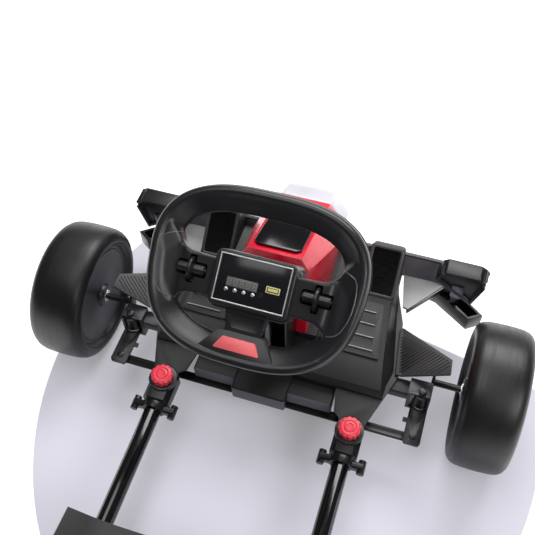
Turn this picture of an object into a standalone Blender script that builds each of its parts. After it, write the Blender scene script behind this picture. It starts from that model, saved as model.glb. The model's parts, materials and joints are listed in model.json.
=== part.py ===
"""Child's electric drift kart: a moulded front body with steering, pedals and lamps, and a
sliding rear frame with a bucket seat, battery and driven wheels. Metres, +Y forward, +Z up."""

import bpy
import bmesh
from math import cos, pi, radians, sin, tan
from mathutils import Matrix, Vector

# Clearances
GAP = 0.0003
SLIP = 0.0004

# Wheels and where they stand
HALF_WIDTH = 0.3567
FRONT_AXLE_Y = 0.280
REAR_AXLE_Y = -0.340
FRONT_WHEEL_R = 0.105
FRONT_WHEEL_W = 0.082
REAR_WHEEL_R = 0.115
REAR_WHEEL_W = 0.088
TYRE_SHOULDER = 0.016
TYRE_WALL = 0.023
HUB_DISC = 0.009
HUB_RECESS = 0.008
HUB_RIM = 0.005
HUB_BOSS_R = 0.018
STUB_R = 0.005
REAR_AXLE_R = 0.006
AXLE_NUT_R = 0.009
AXLE_NUT_T = 0.006
TURN_STEPS = 36

# Steering knuckles and linkage
KINGPIN_X = 0.2253
KINGPIN_Y = 0.2557
KINGPIN_R = 0.004
KINGPIN_HEAD_R = 0.0058
KINGPIN_HEAD_T = 0.004
KNUCKLE_TUBE_R = 0.0105
KNUCKLE_RING_R = 0.0118
KNUCKLE_RING_T = 0.003
KNUCKLE_TOP = 0.108
ARM_TOP = 0.0755
ARM_T = 0.005
ARM_W = 0.025
ARM_LUG = 0.006
KNUCKLE_LOCK = 20.0
ARM_BOLT_Y = 0.2035
LINK_PIN_R = 0.003
LINK_HEAD_R = 0.005
STUB_PLATE_T = 0.004
TIE_BAR_W = 0.014
TIE_BAR_T = 0.004
TIE_BAR_DROP = 0.0015
SLOT_LENGTH = 0.012
SLOT_WIDTH = 0.007

# Front axle beam and forks
BEAM_H = 0.016
BEAM_REAR_Y = 0.252
BEAM_FRONT_Y = 0.276
BEAM_BOSS_HALF = 0.016
FORK_T = 0.004
FORK_REACH = 0.0185
FORK_BACK = 0.006
FORK_LIP = 0.0115

# Frame tubes, clamps and knobs
TUBE_X = 0.1395
TUBE_Z = 0.084
TUBE_R = 0.0125
TUBE_FRONT_Y = 0.2325
CLAMP_WALL = 0.004
CLAMP_W = 0.039
CLAMP_FRONT_Y = 0.192
CLAMP_BLOCK_Y = 0.134
CLAMP_REAR_Y = 0.128
CLAMP_EAR = 0.013
CLAMP_EAR_T = 0.010
CLAMP_BOLT_R = 0.0055
CLAMP_BOLT_L = 0.020
KNOB_Y = 0.1728
KNOB_R = 0.016
KNOB_H = 0.0135
KNOB_LOBES = 12
KNOB_LOBE_DEPTH = 0.0009
KNOB_STEM_R = 0.004
KNOB_BOSS_R = 0.0205
KNOB_BOSS_H = 0.004

# Front body
BODY_FRONT_Y = 0.452
BASE_Z = 0.101
BASE_T = 0.004
BODY_WALL = 0.004
FOOT_REAR_Y = 0.231
FOOT_LIP_Z = 0.1085
FOOT_LOW_Z = 0.125
FOOT_HIGH_Z = 0.142
FOOT_LOW_Y = 0.250
FOOT_HIGH_Y = 0.378
FOOT_LOW_HALF = 0.165
FOOT_HIGH_HALF = 0.149
FLANGE_REAR_HALF = 0.174
FLANGE_MID_HALF = 0.187
FLANGE_MID_Y = 0.276
FLANGE_FORE_HALF = 0.174
FLANGE_FORE_Y = 0.364
FLANGE_FRONT_HALF = 0.1545
FLANGE_FRONT_Y = 0.421
TIP_OUTER_X = 0.158
TIP_INNER_X = 0.120
TIP_Y = 0.186
TIP_NECK_X = 0.105
LEDGE_REAR_Y = 0.204
LEDGE_TOP = 0.096
LEDGE_BOTTOM = 0.0715
BOX_HALF = 0.040
BOX_REAR_Y = 0.188
BOX_RISE = 0.0066
PLINTH_HALF = 0.060
PLINTH_TOP = 0.1432
FOOT_PAD_T = 0.0015
FOOT_PAD_INNER = 0.066
FOOT_RIDGES = 4
FOOT_RIDGE_FIRST = 0.0085
FOOT_RIDGE_PITCH = 0.020
FOOT_RIDGE_W = 0.0022
FOOT_RIDGE_L = 0.052

# Pedal pockets and pedals
POCKET_INNER = 0.103
POCKET_OUTER = 0.153
POCKET_LENGTH = 0.078
POCKET_SLOPE = 45.3
POCKET_RIM = 0.0055
POCKET_DEPTH = 0.0235
PEDAL_SINK = 0.006
PEDAL_T = 0.006
PEDAL_SIDE_GAP = 0.0015
PEDAL_PIN_R = 0.003

# Side steps
STEP_RISE = 0.62
STEP_ROOT_X = 0.1905
STEP_FORE_X = 0.1765
STEP_ROOT_FRONT_Y = 0.354
STEP_WHEEL_GAP = 0.0192
STEP_TIP_FRONT_Y = 0.296
STEP_TIP_REAR_Y = 0.274
STEP_T = 0.004

# Nose cowl, its panel and the nose cap
COWL_REAR_Y = 0.2818
COWL_FRONT_Y = 0.430
COWL_REAR_TOP = 0.3225
COWL_FRONT_TOP = 0.262
COWL_TOP_HALF = 0.036
COWL_WAIST_HALF = 0.060
COWL_FOOT_HALF = 0.054
COWL_WALL = 0.003
PANEL_HALF = 0.032
PANEL_T = 0.004
PANEL_REAR_Y = 0.292
PANEL_FRONT_Y = 0.400
NOSE_FRONT_Y = 0.520
NOSE_FRONT_TOP = 0.190

# Front bumper and headlamps
BUMPER_HALF = 0.212
BUMPER_T = 0.008
BUMPER_LOW = 0.100
BUMPER_HIGH = 0.155
GUSSET_T = 0.004
GUSSET_OUTER_X = 0.223
GUSSET_TIP_OUTER_X = 0.1755
GUSSET_TIP_INNER_X = 0.1675
GUSSET_TIP_Y = 0.392
GUARD_LOW = 0.055
GUARD_HIGH = 0.083
GUARD_ROOT_X = 0.196
GUARD_BEND_X = 0.214
GUARD_CORNER_X = 0.243
GUARD_TIP_X = 0.288
GUARD_TIP_Y = 0.427
GUARD_WALL = 0.004
HANGER_OUTER_X = 0.240
LAMP_POST_X = 0.240
LAMP_POST_W = 0.012
LAMP_POST_D = 0.010
LAMP_POST_TOP = 0.1246
LAMP_REAR_Y = 0.420
LAMP_DEPTH = 0.026
LAMP_TOP = 0.180
LAMP_TOP_INNER = 0.212
LAMP_TOP_OUTER = 0.272
LAMP_TIP_X = 0.264
LAMP_TIP_Z = 0.112
LENS_T = 0.003

# Steering column
COLUMN_Y = 0.245
SPINDLE_R = 0.006
CRANK_T = 0.005
CRANK_W = 0.018
BRACKET_HALF = 0.031
BRACKET_T = 0.003
BRACKET_TOP = 0.268
BRACKET_REAR_Y = 0.2335
BRACKET_SEAT = 0.1285
CUP_R = 0.012
BALL_R = 0.008
SHAFT_R = 0.0055

# Steering wheel, measured in its own plane about the middle of the display
WHEEL_Y = 0.1976
WHEEL_Z = 0.3723
WHEEL_TILT = 36.2
RIM_HALF_WIDTH = 0.1340
RIM_TOP = 0.105
RIM_BOTTOM = 0.100
RIM_THICK = 0.032
RIM_DEPTH = 0.027
RIM_SINK = 0.0105
RIM_LEAN = 0.008
RIM_CORNER_POWER = 2.85
RIM_STEPS = 44
RIM_SIDES = 10
CONSOLE_HALF_W = 0.054
CONSOLE_TOP = 0.032
CONSOLE_BOTTOM = 0.038
CONSOLE_DEPTH = 0.045
SPOKE_TOP = 0.020
SPOKE_BOTTOM = 0.027
SPOKE_DEPTH = 0.022
SPOKE_SINK = 0.006
HUB_SLEEVE_R = 0.014
HUB_SLEEVE_L = 0.015
LOW_SPOKE_TOP_HALF = 0.029
LOW_SPOKE_FOOT_HALF = 0.024
WHEEL_PAD_TOP_HALF = 0.031
PAD_FOOT_HALF = 0.046
PAD_TOP = 0.062
INSERT_TOP = 0.068
INSERT_FOOT = 0.082
INSERT_TOP_HALF = 0.0195
INSERT_FOOT_HALF = 0.028
INSERT_T = 0.0025
DISPLAY_HALF_W = 0.044
DISPLAY_HALF_H = 0.0285
DISPLAY_T = 0.003
BUTTON_R = 0.0024
BUTTON_RISE = 0.0014
BUTTON_ROW = -0.0127
BUTTON_FIRST_X = -0.0289
BUTTON_PITCH = 0.0109
BUTTONS = 4
ROLLER_X = 0.077
ROLLER_R = 0.0065
ROLLER_L = 0.034
ROLLER_DISC_R = 0.0145
ROLLER_DISC_T = 0.005
ROLLER_CLEAR = 0.0015

# Rear frame
RAIL_TOP = 0.112
RAIL_W = 0.028
RAIL_FRONT_Y = -0.080
REAR_BAR_Y = -0.375
REAR_BAR_W = 0.060
REAR_BAR_LOW = 0.070
REAR_BAR_TOP = 0.107
REAR_BAR_WALL = 0.004
FRONT_BAR_W = 0.030
FRAME_HALF = 0.165
EAR_T = 0.006
EAR_TOP = 0.135
EAR_HALF = 0.020
POST_W = 0.016
POST_REAR_Y = -0.290
BUMP_R = 0.011
BUMP_Y = -0.5094
BUMP_HALF = 0.150
BUMP_RISE = 0.075

# Gearboxes
GEARCASE_W = 0.036
GEARCASE_R = 0.040
GEARCASE_NOSE_R = 0.028
GEARCASE_CLEAR = 0.003
MOTOR_R = 0.018
MOTOR_Y = -0.275
MOTOR_Z = 0.128

# Seat
SEAT_HALF = 0.165
SEAT_TOP_HALF = 0.130
SEAT_FRONT_Y = -0.055
SEAT_BACK_Y = -0.300
SEAT_PAN_Z = 0.150
SEAT_PAN_FALL = 0.018
SEAT_BEND_R = 0.055
SEAT_BACK_LEAN = 14.0
SEAT_BACK_L = 0.322
SEAT_SHELL_T = 0.006
PAN_BOLSTER = 0.045
BACK_BOLSTER = 0.050
PAD_THICK = 0.026
PAD_GROOVE = 0.004
BELT_W = 0.036
BELT_T = 0.0025
BELT_Y = -0.185
BUCKLE_W = 0.050

# Battery and switches
BATTERY_W = 0.151
BATTERY_D = 0.098
BATTERY_H = 0.076
BATTERY_Y = -0.200
BOX_WALL = 0.003
BOX_CLEAR = 0.004
BOX_FLANGE_T = 0.003
CONTROL_W = 0.036
CONTROL_L = 0.086
CONTROL_LOW = 0.100
CONTROL_TOP = 0.146
CONTROL_FRONT_Y = -0.085
ROCKER_W = 0.013
ROCKER_L = 0.020
ROCKER_DEPTH = 0.010
ROCKER_TILT = 8.0
SOCKET_R = 0.009
SOCKET_L = 0.012

# Values that follow from the ones above
FRONT_WHEEL_X = HALF_WIDTH - FRONT_WHEEL_W / 2
REAR_WHEEL_X = HALF_WIDTH - REAR_WHEEL_W / 2
BASE_TOP = BASE_Z + BASE_T
ARM_BOLT_X = KINGPIN_X
ARM_BOTTOM = ARM_TOP - ARM_T
TIE_TOP = ARM_BOTTOM - TIE_BAR_DROP
TIE_BOTTOM = TIE_TOP - TIE_BAR_T
CRANK_TOP = TIE_BOTTOM - TIE_BAR_DROP
CRANK_BOTTOM = CRANK_TOP - CRANK_T
BEAM_TOP = BASE_Z - GAP
BEAM_BOTTOM = BEAM_TOP - BEAM_H
STEP_TIP_X = HALF_WIDTH - FRONT_WHEEL_W - STEP_WHEEL_GAP
FORK_WEB_X = KINGPIN_X - SLIP * 2 - (ARM_W / 2 * cos(radians(KNUCKLE_LOCK))
                                     + (FORK_BACK + ARM_W / 2 * sin(radians(KNUCKLE_LOCK)))
                                     * tan(radians(KNUCKLE_LOCK)))
FORK_TOP = KNUCKLE_TOP + GAP
FORK_BOTTOM = ARM_BOTTOM - GAP
CLAMP_TOP = BASE_Z - GAP
CLAMP_BOTTOM = TUBE_Z - TUBE_R - CLAMP_WALL + 0.001
KNOB_SEAT = CLAMP_TOP + KNOB_BOSS_H
COWL_FOOT = PLINTH_TOP + GAP
BUMPER_REAR_Y = BODY_FRONT_Y + 0.0005
BUMPER_FRONT_Y = BUMPER_REAR_Y + BUMPER_T
NOSE_FOOT = BUMPER_HIGH + GAP
SPINDLE_TOP_LENGTH = (COLUMN_Y - WHEEL_Y) / sin(radians(WHEEL_TILT))
JOINT_Z = WHEEL_Z - SPINDLE_TOP_LENGTH * cos(radians(WHEEL_TILT))
POCKET_FOOT = Vector((0.0, FOOT_HIGH_Y - 0.003, FOOT_HIGH_Z))
FRAME_TUBE_TOP = TUBE_Z + TUBE_R
REAR_BAR_FRONT_Y = REAR_BAR_Y + REAR_BAR_W


def clear_scene():
    for ob in list(bpy.data.objects):
        bpy.data.objects.remove(ob, do_unlink=True)


def collection(name):
    made = bpy.data.collections.new(name)
    bpy.context.scene.collection.children.link(made)
    return made


def material(name, colour, roughness, metallic=0.0):
    made = bpy.data.materials.new(name)
    made.use_nodes = True
    shader = made.node_tree.nodes["Principled BSDF"]
    shader.inputs["Base Color"].default_value = (*colour, 1.0)
    shader.inputs["Roughness"].default_value = roughness
    shader.inputs["Metallic"].default_value = metallic
    made.diffuse_color = (*colour, 1.0)
    return made


# Shapes

def from_bmesh(bm):
    bm.normal_update()
    bmesh.ops.recalc_face_normals(bm, faces=bm.faces)
    mesh = bpy.data.meshes.new("solid")
    bm.to_mesh(mesh)
    bm.free()
    ob = bpy.data.objects.new("solid", mesh)
    KART.objects.link(ob)
    return ob


def settled(ob):
    """Turn an object's curve or modifiers into plain mesh, with its caps and seams welded."""
    bpy.context.view_layer.update()
    graph = bpy.context.evaluated_depsgraph_get()
    mesh = bpy.data.meshes.new_from_object(ob.evaluated_get(graph))
    bm = bmesh.new()
    bm.from_mesh(mesh)
    bmesh.ops.remove_doubles(bm, verts=bm.verts, dist=0.00001)
    made = from_bmesh(bm)
    made.matrix_world = ob.matrix_world
    bpy.data.objects.remove(ob, do_unlink=True)
    return made


def boolean(target, tool, operation):
    modifier = target.modifiers.new("boolean", "BOOLEAN")
    modifier.object = tool
    modifier.operation = operation
    modifier.solver = "EXACT"
    tool.hide_render = True
    made = settled(target)
    bpy.data.objects.remove(tool, do_unlink=True)
    return made


def join(target, *others):
    for other in others:
        target = boolean(target, other, "UNION")
    return target


def cut(target, *tools):
    for tool in tools:
        target = boolean(target, tool, "DIFFERENCE")
    return target


def box(x, y, z, bevel=0.0):
    """A block between the two values given on each axis, with its edges bevelled."""
    bm = bmesh.new()
    bmesh.ops.create_cube(bm, size=1.0)
    for v in bm.verts:
        v.co = Vector([lo + (c + 0.5) * (hi - lo) for c, (lo, hi) in zip(v.co, (x, y, z))])
    if bevel:
        bmesh.ops.bevel(bm, geom=bm.edges[:], offset=bevel, segments=1, affect="EDGES")
    return from_bmesh(bm)


def rod(start, end, radius, sides=16, end_radius=None):
    start, end = Vector(start), Vector(end)
    bm = bmesh.new()
    bmesh.ops.create_cone(bm, cap_ends=True, segments=sides, radius1=radius,
                          radius2=radius if end_radius is None else end_radius,
                          depth=(end - start).length)
    turn = (end - start).to_track_quat("Z", "Y").to_matrix().to_4x4()
    bm.transform(Matrix.Translation((start + end) / 2) @ turn)
    return from_bmesh(bm)


def ball(centre, radius):
    bm = bmesh.new()
    bmesh.ops.create_uvsphere(bm, u_segments=16, v_segments=10, radius=radius)
    bm.transform(Matrix.Translation(centre))
    return from_bmesh(bm)


def plate(outline, low, high, across="Z"):
    """A flat outline given thickness along one axis; it is drawn in the other two, in order."""
    curve = bpy.data.curves.new("outline", "CURVE")
    curve.dimensions = "2D"
    curve.fill_mode = "BOTH"
    curve.extrude = (high - low) / 2
    spline = curve.splines.new("POLY")
    spline.points.add(len(outline) - 1)
    for point, (u, v) in zip(spline.points, outline):
        point.co = (u, v, 0.0, 1.0)
    spline.use_cyclic_u = True
    drawn = bpy.data.objects.new("outline", curve)
    KART.objects.link(drawn)
    ob = settled(drawn)
    turns = {"Z": Matrix.Identity(4),
             "X": Matrix(((0, 0, 1, 0), (1, 0, 0, 0), (0, 1, 0, 0), (0, 0, 0, 1))),
             "Y": Matrix(((1, 0, 0, 0), (0, 0, -1, 0), (0, 1, 0, 0), (0, 0, 0, 1)))}
    middle = {"X": (1, 0, 0), "Y": (0, 1, 0), "Z": (0, 0, 1)}[across]
    shift = Matrix.Translation(Vector(middle) * (low + high) / 2)
    ob.data.transform(shift @ turns[across])
    return ob


def turned(profile, steps=TURN_STEPS, axis="Z"):
    """A closed profile of (radius, height) points turned about an axis."""
    mesh = bpy.data.meshes.new("profile")
    count = len(profile)
    mesh.from_pydata([(r, 0.0, h) for r, h in profile],
                     [(i, (i + 1) % count) for i in range(count)], [])
    drawn = bpy.data.objects.new("profile", mesh)
    KART.objects.link(drawn)
    screw = drawn.modifiers.new("turn", "SCREW")
    screw.steps = steps
    screw.render_steps = steps
    screw.use_merge_vertices = True
    screw.merge_threshold = 0.00001
    ob = settled(drawn)
    if axis == "X":
        ob.data.transform(Matrix.Rotation(pi / 2, 4, "Y"))
    return ob


def pipe(points, radius, cyclic=False, resolution=3):
    curve = bpy.data.curves.new("route", "CURVE")
    curve.dimensions = "3D"
    curve.bevel_depth = radius
    curve.bevel_resolution = resolution
    curve.use_fill_caps = not cyclic
    spline = curve.splines.new("POLY")
    spline.points.add(len(points) - 1)
    for point, place in zip(spline.points, points):
        point.co = (*place, 1.0)
    spline.use_cyclic_u = cyclic
    drawn = bpy.data.objects.new("route", curve)
    KART.objects.link(drawn)
    return settled(drawn)


def loft(sections):
    """A solid through like-numbered rings of points, closed at both ends."""
    bm = bmesh.new()
    rings = [[bm.verts.new(p) for p in ring] for ring in sections]
    count = len(rings[0])
    for near, far in zip(rings, rings[1:]):
        for i in range(count):
            j = (i + 1) % count
            bm.faces.new((near[i], near[j], far[j], far[i]))
    bm.faces.new(rings[0])
    bm.faces.new(rings[-1])
    return from_bmesh(bm)


def both_sides(half):
    """A closed outline from its right half."""
    return list(half) + [(-x, y) for x, y in reversed(half)]


def arc(centre, radius, start, end, steps):
    """Points on a circle between two angles in degrees."""
    span = [start + (end - start) * i / steps for i in range(steps + 1)]
    return [(centre[0] + radius * cos(radians(a)), centre[1] + radius * sin(radians(a)))
            for a in span]


def mirrored(ob):
    ob.data.transform(Matrix.Scale(-1, 4, (1, 0, 0)))
    ob.data.flip_normals()
    return ob


def finish(ob, name, look, origin=(0.0, 0.0, 0.0), side=1, parent=None):
    """Name a piece, give it its material, and put its origin on the point that it turns about."""
    ob.data.transform(ob.matrix_world)
    ob.matrix_world = Matrix.Identity(4)
    ob.data.transform(Matrix.Translation(-Vector(origin)))
    origin = Vector(origin)
    if side < 0:
        mirrored(ob)
        origin.x = -origin.x
    ob.name = name
    ob.data.name = name
    ob.data.materials.clear()
    ob.data.materials.append(look)
    ob.data.shade_smooth()
    ob.data.set_sharp_from_angle(angle=radians(32))
    ob.location = origin
    if parent:
        ob.parent = parent
    return ob


def hand(side):
    return "right" if side > 0 else "left"


# Wheels

def tyre(name, radius, width, at):
    seat = radius - TYRE_WALL
    half = width / 2
    edge = radius - TYRE_SHOULDER
    shoulder = arc((edge, half - TYRE_SHOULDER), TYRE_SHOULDER, 90, 0, 3)
    upper = [(seat, half - 0.004), (seat + 0.004, half)] + shoulder
    lower = [(r, -h) for r, h in reversed(upper)]
    ob = turned(upper + lower, axis="X")
    ob.data.transform(Matrix.Translation(at))
    return finish(ob, name, LOOKS["tyre_rubber"], origin=at)


def hub(name, radius, width, axle_r, at, side, outer_boss):
    """A moulded disc hub: a disc on its inner face, a rim under the tyre, a boss on the axle."""
    seat = radius - TYRE_WALL - GAP
    bore = axle_r + SLIP
    inner = -width / 2 + HUB_RECESS
    outer = width / 2 - HUB_RECESS
    profile = [(bore, inner), (seat, inner), (seat, outer), (seat - HUB_RIM, outer),
               (seat - HUB_RIM, inner + HUB_DISC), (HUB_BOSS_R, inner + HUB_DISC),
               (HUB_BOSS_R, outer_boss), (bore, outer_boss)]
    ob = turned(profile, axis="X")
    ob.data.transform(Matrix.Translation(at))
    return finish(ob, name, LOOKS["hub_plastic"], origin=at, side=side)


def wheels():
    front_at = Vector((FRONT_WHEEL_X, FRONT_AXLE_Y, FRONT_WHEEL_R))
    rear_at = Vector((REAR_WHEEL_X, REAR_AXLE_Y, REAR_WHEEL_R))
    for side in (-1, 1):
        flip = Vector((side, 1, 1))
        tyre("front_tyre_" + hand(side), FRONT_WHEEL_R, FRONT_WHEEL_W, front_at * flip)
        tyre("rear_tyre_" + hand(side), REAR_WHEEL_R, REAR_WHEEL_W, rear_at * flip)
        hub("front_hub_" + hand(side), FRONT_WHEEL_R, FRONT_WHEEL_W, STUB_R, front_at, side,
            FRONT_WHEEL_W / 2 - AXLE_NUT_T - 0.004)
        hub("rear_hub_" + hand(side), REAR_WHEEL_R, REAR_WHEEL_W, REAR_AXLE_R, rear_at, side,
            REAR_WHEEL_W / 2 - AXLE_NUT_T - 0.004)


# Front suspension and steering linkage

def knuckle(side):
    """Kingpin tube with its ring, the flat steering arm, and the stub axle with its nut."""
    x, y = KINGPIN_X, KINGPIN_Y
    tube = rod((x, y, ARM_TOP - 0.002), (x, y, KNUCKLE_TOP), KNUCKLE_TUBE_R, 16)
    ring = rod((x, y, ARM_TOP - 0.001), (x, y, ARM_TOP + KNUCKLE_RING_T), KNUCKLE_RING_R, 16)
    half = ARM_W / 2
    arm_half = plate(arc((x, y), half, 0, 180, 6)
                     + [(ARM_BOLT_X - half, ARM_BOLT_Y - half * 0.7),
                        (ARM_BOLT_X - half * 0.8, ARM_BOLT_Y - half),
                        (ARM_BOLT_X + half * 0.8, ARM_BOLT_Y - half),
                        (ARM_BOLT_X + half, ARM_BOLT_Y - half * 0.7)],
                     ARM_BOTTOM, ARM_TOP)
    face = x + KNUCKLE_TUBE_R - STUB_PLATE_T / 2
    clear_y = y + FORK_REACH + 0.003
    root_y = y - KNUCKLE_TUBE_R * 0.8
    axle_z = FRONT_WHEEL_R
    web = plate([(root_y, ARM_BOTTOM + 0.001), (FRONT_AXLE_Y + STUB_R * 2, axle_z - 0.016),
                 (FRONT_AXLE_Y + STUB_R * 2.4, axle_z + 0.010), (clear_y + 0.002, axle_z + 0.010),
                 (clear_y, KNUCKLE_TOP - 0.001), (root_y, KNUCKLE_TOP - 0.001)],
                face, face + STUB_PLATE_T, "X")
    nut_in = FRONT_WHEEL_X + FRONT_WHEEL_W / 2 - AXLE_NUT_T - 0.004 + GAP * 2
    nut_out = nut_in + AXLE_NUT_T
    stub = rod((face + 0.001, FRONT_AXLE_Y, axle_z), (nut_out + 0.001, FRONT_AXLE_Y, axle_z), STUB_R)
    nut = rod((nut_in, FRONT_AXLE_Y, axle_z), (nut_out, FRONT_AXLE_Y, axle_z), AXLE_NUT_R, 6)
    shoulder_end = FRONT_WHEEL_X - FRONT_WHEEL_W / 2 + HUB_RECESS - GAP * 2
    shoulder = rod((shoulder_end - 0.0025, FRONT_AXLE_Y, axle_z), (shoulder_end, FRONT_AXLE_Y, axle_z),
                   HUB_BOSS_R * 0.6, 12)
    pin = rod((ARM_BOLT_X, ARM_BOLT_Y, TIE_BOTTOM - 0.001), (ARM_BOLT_X, ARM_BOLT_Y, ARM_TOP), LINK_PIN_R)
    head = rod((ARM_BOLT_X, ARM_BOLT_Y, ARM_TOP - 0.001), (ARM_BOLT_X, ARM_BOLT_Y, ARM_TOP + 0.0025),
               LINK_HEAD_R, 6)
    lug_y = (y + ARM_BOLT_Y) / 2 - ARM_LUG
    lug = box((x - half - ARM_LUG, x - half + 0.002), (lug_y, lug_y + ARM_LUG),
              (ARM_BOTTOM + 0.0005, ARM_TOP - 0.0005))
    bore = rod((x, y, ARM_BOTTOM - 0.01), (x, y, KNUCKLE_TOP + 0.01), KINGPIN_R + SLIP)
    ob = cut(join(arm_half, tube, ring, web, stub, nut, shoulder, pin, head, lug), bore)
    return finish(ob, "knuckle_" + hand(side), LOOKS["black_steel"], origin=(x, y, 0.0), side=side)


def kingpin(side):
    x, y = KINGPIN_X, KINGPIN_Y
    top = FORK_TOP + FORK_T + GAP
    bottom = FORK_BOTTOM - FORK_T - GAP
    shank = rod((x, y, bottom - KINGPIN_HEAD_T), (x, y, top + KINGPIN_HEAD_T), KINGPIN_R)
    head = rod((x, y, top), (x, y, top + KINGPIN_HEAD_T), KINGPIN_HEAD_R, 6)
    nut = rod((x, y, bottom - KINGPIN_HEAD_T), (x, y, bottom), KINGPIN_HEAD_R, 6)
    return finish(join(shank, head, nut), "kingpin_" + hand(side), LOOKS["black_steel"], side=side)


def fork(side):
    """The bracket at each end of the beam that holds the kingpin above and below the knuckle."""
    web_in = FORK_WEB_X - FORK_T
    lip_out = KINGPIN_X + FORK_LIP
    y = (KINGPIN_Y - FORK_BACK, KINGPIN_Y + FORK_REACH)
    web = box((web_in, FORK_WEB_X), y, (FORK_BOTTOM - FORK_T, FORK_TOP + FORK_T))
    upper = box((web_in, lip_out), y, (FORK_TOP, FORK_TOP + FORK_T))
    lower = box((web_in, lip_out), y, (FORK_BOTTOM - FORK_T, FORK_BOTTOM))
    ob = join(web, upper, lower)
    if side < 0:
        mirrored(ob)
    return ob


def front_axle_beam():
    end = FORK_WEB_X - FORK_T / 2
    beam = box((-end, end), (BEAM_REAR_Y, BEAM_FRONT_Y), (BEAM_BOTTOM, BEAM_TOP), 0.002)
    boss = box((-BEAM_BOSS_HALF, BEAM_BOSS_HALF), (FOOT_REAR_Y + BODY_WALL + GAP, BEAM_REAR_Y + 0.004),
               (BEAM_BOTTOM + 0.001, BEAM_TOP - 0.001))
    ob = join(beam, boss, fork(-1), fork(1))
    bores = [rod((side * KINGPIN_X, KINGPIN_Y, FORK_BOTTOM - 0.02),
                 (side * KINGPIN_X, KINGPIN_Y, FORK_TOP + 0.02), KINGPIN_R + SLIP) for side in (-1, 1)]
    spindle = rod((0, COLUMN_Y, BEAM_BOTTOM - 0.01), (0, COLUMN_Y, BEAM_TOP + 0.01), SPINDLE_R + SLIP)
    return finish(cut(ob, spindle, *bores), "front_axle_beam", LOOKS["black_steel"])


def tie_rod():
    half = TIE_BAR_W / 2
    reach = ARM_BOLT_X + LINK_PIN_R * 2
    pad = SLOT_LENGTH / 2 + 0.004
    slot_y = ARM_BOLT_Y + 0.001
    bar = box((-reach, reach), (ARM_BOLT_Y - half, ARM_BOLT_Y + half), (TIE_BOTTOM, TIE_TOP), 0.001)
    boss = box((-pad, pad), (slot_y - pad, slot_y + pad), (TIE_BOTTOM, TIE_TOP))
    slot = box((-SLOT_WIDTH / 2, SLOT_WIDTH / 2), (slot_y - SLOT_LENGTH / 2, slot_y + SLOT_LENGTH / 2),
               (TIE_BOTTOM - 0.01, TIE_TOP + 0.01))
    holes = [rod((side * ARM_BOLT_X, ARM_BOLT_Y, TIE_BOTTOM - 0.01),
                 (side * ARM_BOLT_X, ARM_BOLT_Y, TIE_TOP + 0.01), LINK_PIN_R + SLIP) for side in (-1, 1)]
    ob = cut(join(bar, boss), slot, *holes)
    return finish(ob, "tie_rod", LOOKS["black_steel"], origin=(-ARM_BOLT_X, ARM_BOLT_Y, 0.0))


def steering_spindle():
    """The upright rod: a cup for the shaft's ball at the top, a crank with its pin at the foot."""
    y = COLUMN_Y
    cup_foot = BRACKET_TOP + GAP
    upright = rod((0, y, CRANK_BOTTOM), (0, y, cup_foot + 0.002), SPINDLE_R)
    cup = rod((0, y, cup_foot), (0, y, JOINT_Z), CUP_R, 20)
    well = rod((0, y, JOINT_Z - BALL_R - GAP * 2), (0, y, JOINT_Z + 0.01), BALL_R + SLIP * 2, 20)
    half = CRANK_W / 2
    crank = plate(arc((0, y), half, 0, 180, 8) + arc((0, ARM_BOLT_Y), half * 0.7, 180, 360, 6),
                  CRANK_BOTTOM, CRANK_TOP)
    pin = rod((0, ARM_BOLT_Y, CRANK_BOTTOM), (0, ARM_BOLT_Y, TIE_TOP + 0.0005), LINK_PIN_R)
    ob = join(crank, upright, cut(cup, well), pin)
    return finish(ob, "steering_spindle", LOOKS["zinc_steel"], origin=(0.0, y, 0.0))


def column_bracket():
    """A folded channel: two cheeks and a front web between a foot plate and a top plate."""
    front = COWL_REAR_Y - GAP
    half = BRACKET_HALF
    foot = BRACKET_SEAT + GAP
    outer = box((-half, half), (BRACKET_REAR_Y, front), (foot, BRACKET_TOP), 0.001)
    inner = box((-half + BRACKET_T, half - BRACKET_T), (BRACKET_REAR_Y - 0.01, front - BRACKET_T),
                (foot + BRACKET_T, BRACKET_TOP - BRACKET_T))
    bore = rod((0, COLUMN_Y, foot - 0.01), (0, COLUMN_Y, BRACKET_TOP + 0.01), SPINDLE_R + SLIP)
    return finish(cut(outer, inner, bore), "column_bracket", LOOKS["black_steel"])


# Front body and what is fixed to it

def base_outline():
    notch = arc((TUBE_X, KNOB_Y), KNOB_BOSS_R + SLIP * 2, 148, 32, 8)
    half = [(POCKET_OUTER + 0.001, BODY_FRONT_Y), (FLANGE_FRONT_HALF, FLANGE_FRONT_Y),
            (FLANGE_FORE_HALF, FLANGE_FORE_Y), (FLANGE_MID_HALF, FLANGE_MID_Y),
             (FLANGE_REAR_HALF, FOOT_REAR_Y + 0.003), (TIP_OUTER_X, TIP_Y)]
    half += list(reversed(notch))
    half += [(TIP_INNER_X, TIP_Y + 0.003), (TIP_NECK_X + 0.006, TIP_Y + 0.010),
             (TIP_NECK_X, FOOT_REAR_Y)]
    return both_sides(half)


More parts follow.
